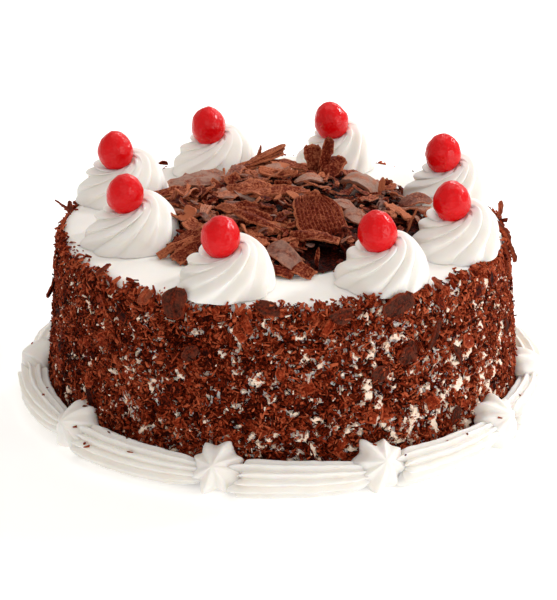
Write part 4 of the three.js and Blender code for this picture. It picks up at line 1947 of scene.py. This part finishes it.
@dataclass
class Cherry(Single):
    """A glace cherry: egg-shaped, narrower at the top, a little wrinkled.

    Attributes:
        narrowing: How much narrower than a ball it is at the top, as a share.
        taller: Its height, as a share of its solid's.
    """

    narrowing: float = 0.08
    taller: float = 1.025

    def build(self, material: Material) -> None:
        """Builds the cherry where its solid sits.

        Args:
            material: Its finish.
        """
        rng = np.random.default_rng(200 + self.number)
        low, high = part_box(self.node)
        size = high - low
        radius = size.x / 2
        fruit = new_piece(bpy.ops.mesh.primitive_uv_sphere_add, segments=28, ring_count=18, radius=radius)
        with editing(fruit):
            for height in sorted({round(vert.co.z, 6) for vert in fruit.data.vertices}):
                share = max(0.0, height / radius)
                select_verts(fruit, lambda vert, height=height: abs(vert.co.z - height) < 2e-6)
                widen(1 - self.narrowing * share, (0, 0, height))
            bpy.ops.mesh.select_all(action="SELECT")
            stretch = self.taller * size.z / size.x
            bpy.ops.transform.resize(value=(1, 1, stretch), center_override=(0, 0, -radius))
            bpy.ops.transform.vertex_random(offset=0.12 * MM, seed=self.number)
        fruit.rotation_euler = (*np.radians(rng.normal(0, 7, 2)), rng.uniform(0, 6.28))
        fruit.location = (low + high) / 2
        soften(fruit, 4.5, 0.9)
        bpy.ops.object.shade_smooth()
        hand_over(fruit, f"glace_cherry_{self.number}", material, Slot.CHERRY, self.node)


# ---- The border around the foot ----


def span_of(node: str) -> tuple[float, float]:
    """Gives the lowest and highest bearing of a solid.

    Args:
        node: The solid.

    Returns:
        Both in degrees, the first below the second.
    """
    points = np.array([vert.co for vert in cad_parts[node].data.vertices])
    bearing = np.degrees(np.arctan2(points[:, 1], points[:, 0]))
    middle = math.degrees(math.atan2(points[:, 1].mean(), points[:, 0].mean()))
    offset = (bearing - middle + 180) % 360 - 180
    return middle + float(offset.min()), middle + float(offset.max())


@dataclass
class Finger(Single):
    """A finger of the border: piped round the foot with a star nozzle, toothed at its start, thin at its end.

    Attributes:
        flutes: How many ridges it has.
        radius: Of its ridges where it is full, in mm.
        distance: Of its middle from the cake's axis.
        height: Of its middle.
        rings: How many steps it is piped in.
        shares: Places along it, as shares of its length.
        thickness: At each of these, as a share of the full one.
        before: Degrees that it starts before its solid.
        after: Degrees that its last steps would reach past it, before they are drawn in.
    """

    flutes: int = 11
    radius: float = 7.7
    distance: float = 115.05
    height: float = 7.3
    rings: int = 22
    shares: tuple[float, ...] = (0, 0.06, 0.25, 0.6, 0.85, 1)
    thickness: tuple[float, ...] = (1.04, 1.1, 1.05, 1.0, 0.84, 0.5)
    before: float = 0.4
    after: float = 1.5

    def build(self, material: Material) -> Object:
        """Builds the finger from its start to its end, then swings it to its place.

        Args:
            material: Its finish.

        Returns:
            The finger.
        """
        rng = np.random.default_rng(300 + self.number)
        start, end = span_of(self.node)
        swing = (end + self.after - start + self.before) / self.rings
        thickness = np.interp(np.linspace(0, 1, self.rings + 1), self.shares, self.thickness)
        middle = (self.distance * MM, 0, self.height * MM)
        first = Ring(thickness[0] * self.radius * MM, 0.6)
        cream = Piping(self.flutes, first, middle, upright=True, crease=0.2)
        cream.make_uneven(rng, 0, (Piping.RIDGE, 0.95, 1.05))
        for number, share in enumerate(thickness[1:]):
            step = (rng.normal(0, 0.1) * MM, 0, rng.normal(0, 0.1) * MM)
            radius = share * self.radius * (1 + (number % 2 - 0.5) * rng.uniform(0.01, 0.06)) * MM
            groove = 0.78 if number == 0 else 0.9 + rng.uniform(-0.02, 0.02)
            cream.go_on(Ring(radius, groove, step, 0, swing))
        self.pull_teeth(cream, rng)
        rope = cream.close(0.6)
        rope.rotation_euler.z = math.radians(start - self.before)
        soften(rope, 6, 0.8, rounds=2)
        cut_at_floor(rope)
        bpy.ops.object.shade_smooth()
        hand_over(rope, f"border_finger_{self.number}", material, Slot.CREAM, self.node)
        return rope

    def pull_teeth(self, cream: Piping, rng: np.random.Generator) -> None:
        """Pulls the ridges of the outer side back at the start, some further than others, into teeth.

        Args:
            cream: The finger so far.
            rng: Draws how far.
        """
        for crest in range(2, 4 * self.flutes, 4):
            select_verts(cream.obj, lambda vert, crest=crest: vert.index == crest)
            chosen = [vert.co.x for vert in bmesh.from_edit_mesh(cream.obj.data).verts if vert.select]
            if chosen and chosen[0] > (self.distance - 2) * MM:
                turn(-rng.uniform(2.0, 8.0), "Z", (0, 0, 0))
                widen(1 + rng.uniform(0.015, 0.045), (0, 0, 0))
        cream.select_ring(len(cream.middles) - 1)


@dataclass
class Star(Single):
    """A star of the border: a short press of the star nozzle, pulled off into a point.

    Attributes:
        petals: How many ridges it has.
        tilt: Degrees that its axis is raised by from level.
        base_distance: Of its foot's middle from the cake's axis, in mm.
        base_height: Of its foot's middle, in mm.
        profile: For each ring its radius and height in mm, and its groove's share of the radius.
    """

    petals: int = 8
    tilt: float = 31.0
    base_distance: float = 109.2
    base_height: float = 7.4
    profile: tuple[tuple[float, float, float], ...] = (
        (10.2, 0.0, 0.88),
        (12.0, 1.8, 0.82),
        (12.9, 4.0, 0.78),
        (12.3, 6.2, 0.76),
        (10.7, 8.4, 0.75),
        (8.3, 10.4, 0.75),
        (5.7, 12.1, 0.76),
        (3.1, 13.5, 0.79),
        (1.1, 14.6, 0.86),
    )

    def build(self, material: Material) -> Object:
        """Builds the star upright, tips it outwards at its place and cuts it at the floor.

        Args:
            material: Its finish.

        Returns:
            The star.
        """
        rng = np.random.default_rng(400 + self.number)
        low, high = span_of(self.node)
        radius, _, groove = self.profile[0]
        cream = Piping(self.petals, Ring(radius * MM, groove), crease=0.1, sharp=0.6)
        cream.make_uneven(rng, 7, (Piping.RIDGE, 0.92, 1.1), (Piping.GROOVE, 0.9, 1.16))
        for (_, below, _), (radius, height, groove) in pairwise(self.profile):
            step = (rng.normal(0, 0.15) * MM, rng.normal(0, 0.15) * MM, (height - below) * MM)
            cream.go_on(Ring(radius * rng.uniform(0.97, 1.03) * MM, groove, step, rng.uniform(0.5, 3.0)))
        star = cream.close()
        bearing = (low + high) / 2
        star.rotation_euler = (0, math.radians(90 - self.tilt), math.radians(bearing))
        star.location = polar(bearing, self.base_distance * MM, self.base_height * MM)
        soften(star, 6, 0.9, rounds=2)
        cut_at_floor(star)
        bpy.ops.object.shade_smooth()
        hand_over(star, f"border_star_{self.number}", material, Slot.CREAM, self.node)
        return star


@dataclass
class BorderCrumbs:
    """Bits of chocolate that fell on the border: each lies where it lands when it is dropped from above.

    Attributes:
        strewn: How many are dropped at random; the ones that land low are left out.
        lowest: Height in metres below which that is.
        marked: Bearing, distance and length in mm of the ones that stand out.
    """

    strewn: int = 46
    lowest: float = 4 * MM
    marked: tuple[tuple[float, float, float], ...] = (
        (233.8, 113.0, 2.2),
        (235.2, 111.5, 1.8),
        (236.8, 118.7, 3.2),
        (225.1, 121.0, 1.8),
        (226.3, 122.0, 2.6),
        (218.6, 110.5, 3.4),
    )

    def build(self, pieces: Sequence[Object], material: Material) -> None:
        """Builds the bits.

        Args:
            pieces: The border's pieces.
            material: The bits' finish.
        """
        rng = np.random.default_rng(500)
        bearing, distance = rng.uniform(0, 360, self.strewn), rng.uniform(107.5, 119, self.strewn)
        wanted = [*self.marked, *zip(bearing, distance, rng.uniform(0.8, 2.2, self.strewn), strict=True)]
        place, normals, sizes = [], [], []
        for angle, far, size in wanted:
            above = polar(angle, far * MM, 60 * MM)
            hits = [piece.ray_cast(above, (0, 0, -1)) for piece in pieces]
            hits = [hit for hit in hits if hit[0] and hit[1].z > self.lowest]
            if hits:
                _, point, normal, _ = max(hits, key=lambda hit: hit[1].z)
                place.append(point + normal * 0.2 * MM)
                normals.append(normal)
                sizes.append((size, size * rng.uniform(0.35, 0.7), rng.uniform(0.5, 0.8)))
        count = len(place)
        along = np.column_stack([rng.normal(0, 1, (count, 2)), np.zeros(count)])
        axes = axes_along(np.array(normals), along)
        tone = rng.uniform(0.2, 0.7, count)
        models = [model_chip(501), model_sliver(502), model_crumb(503)]
        bits = Scatter(np.array(place), axes, np.array(sizes), tone, np.arange(count) % len(models))
        hand_over(bits.joined("border_crumbs", models), "border_crumbs", material, Slot.GRATED, "cake")


# ---- Studio ----


@dataclass(frozen=True)
class SoftBox:
    """A soft square light: where it stands as seen from the origin, the length of its side, and its power."""

    name: str
    bearing: float
    elevation: float
    distance: float
    size: float
    watts: float

    def build(self) -> None:
        """Adds the light, turned to the cake."""
        level = self.distance * math.cos(math.radians(self.elevation))
        place = polar(self.bearing, level, self.distance * math.sin(math.radians(self.elevation)))
        facing = (Vector((0, 0, 0.05)) - place).to_track_quat("-Z", "Y").to_euler()
        bpy.ops.object.light_add(type="AREA", location=place, rotation=facing)
        light = bpy.context.object
        light.name = self.name
        light.data.shape = "SQUARE"
        light.data.size = self.size
        light.data.energy = self.watts


@dataclass
class Studio:
    """A white table, soft lights, an even light from all round (surround), and the camera (eye and lens)."""

    lights: tuple[SoftBox, ...] = (
        SoftBox("key light", 28, 36, 1.3, 0.25, 7.0),
        SoftBox("side light", 325, 20, 1.5, 0.8, 6),
        SoftBox("front light", 262, 34, 1.6, 1.0, 2.2),
        SoftBox("top light", 90, 80, 1.5, 1.0, 4),
        SoftBox("back light", 70, 34, 1.4, 0.4, 4),
    )
    surround: float = 0.5
    eye: tuple[float, float, float] = (-0.002, -0.925, 0.4189)
    look_down: float = 22.21
    lens: float = 129.9

    def build(self) -> None:
        """Builds the studio around the cake."""
        floor = new_piece(bpy.ops.mesh.primitive_plane_add, size=8, location=(0, 0, -0.0002))
        floor.name = "table_top"
        floor.data.materials.append(LightTable().make())
        for light in self.lights:
            light.build()
        world = bpy.data.worlds.new("white surround")
        world.use_nodes = True
        background = world.node_tree.nodes["Background"]
        background.inputs["Color"].default_value = linear("#FFF8F0")
        background.inputs["Strength"].default_value = self.surround
        bpy.context.scene.world = world
        bpy.context.scene.view_settings.view_transform = "Standard"
        bpy.ops.object.camera_add(location=self.eye, rotation=(math.radians(90 - self.look_down), 0, 0))
        camera = bpy.context.object
        camera.data.lens = self.lens
        camera.data.sensor_width = 36
        camera.data.sensor_fit = "AUTO"
        camera.data.clip_start = 0.01
        bpy.context.scene.camera = camera


def main() -> None:
    """Builds the cake, piece by piece, then the studio."""
    logging.basicConfig(level=logging.INFO, format="%(message)s")
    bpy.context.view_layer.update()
    cream = WhippedCream().make()
    pressed = PRESSED_CREAM.make()
    grated = GRATED_CHOCOLATE.make()
    shaved = SHAVED_CHOCOLATE.make()
    cherry = GlaceCherry().make()
    CreamCoat().build(cream)
    rosettes = [f"rosette_{number}" for number in range(1, 9)]
    for number, name in enumerate(rosettes, 1):
        Rosette(name, number).build(cream)
        Cherry(f"cherry_{number}", number).build(cherry)
    border = []
    for number in range(1, 11):
        border.append(Finger(f"finger_{number}", number).build(cream))
        border.append(Star(f"star_{number}", number).build(cream))
    BorderCrumbs().build(border, grated)
    keep_out = []
    for low, high in map(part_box, rosettes):
        keep_out.append(((low + high) / 2, (high.x - low.x) / 2 / MM * 0.92))
    ShavingHeap(keep_out=keep_out).build(shaved)
    GratedSide().build(grated, pressed)
    Studio().build()


if __name__ == "__main__":
    main()
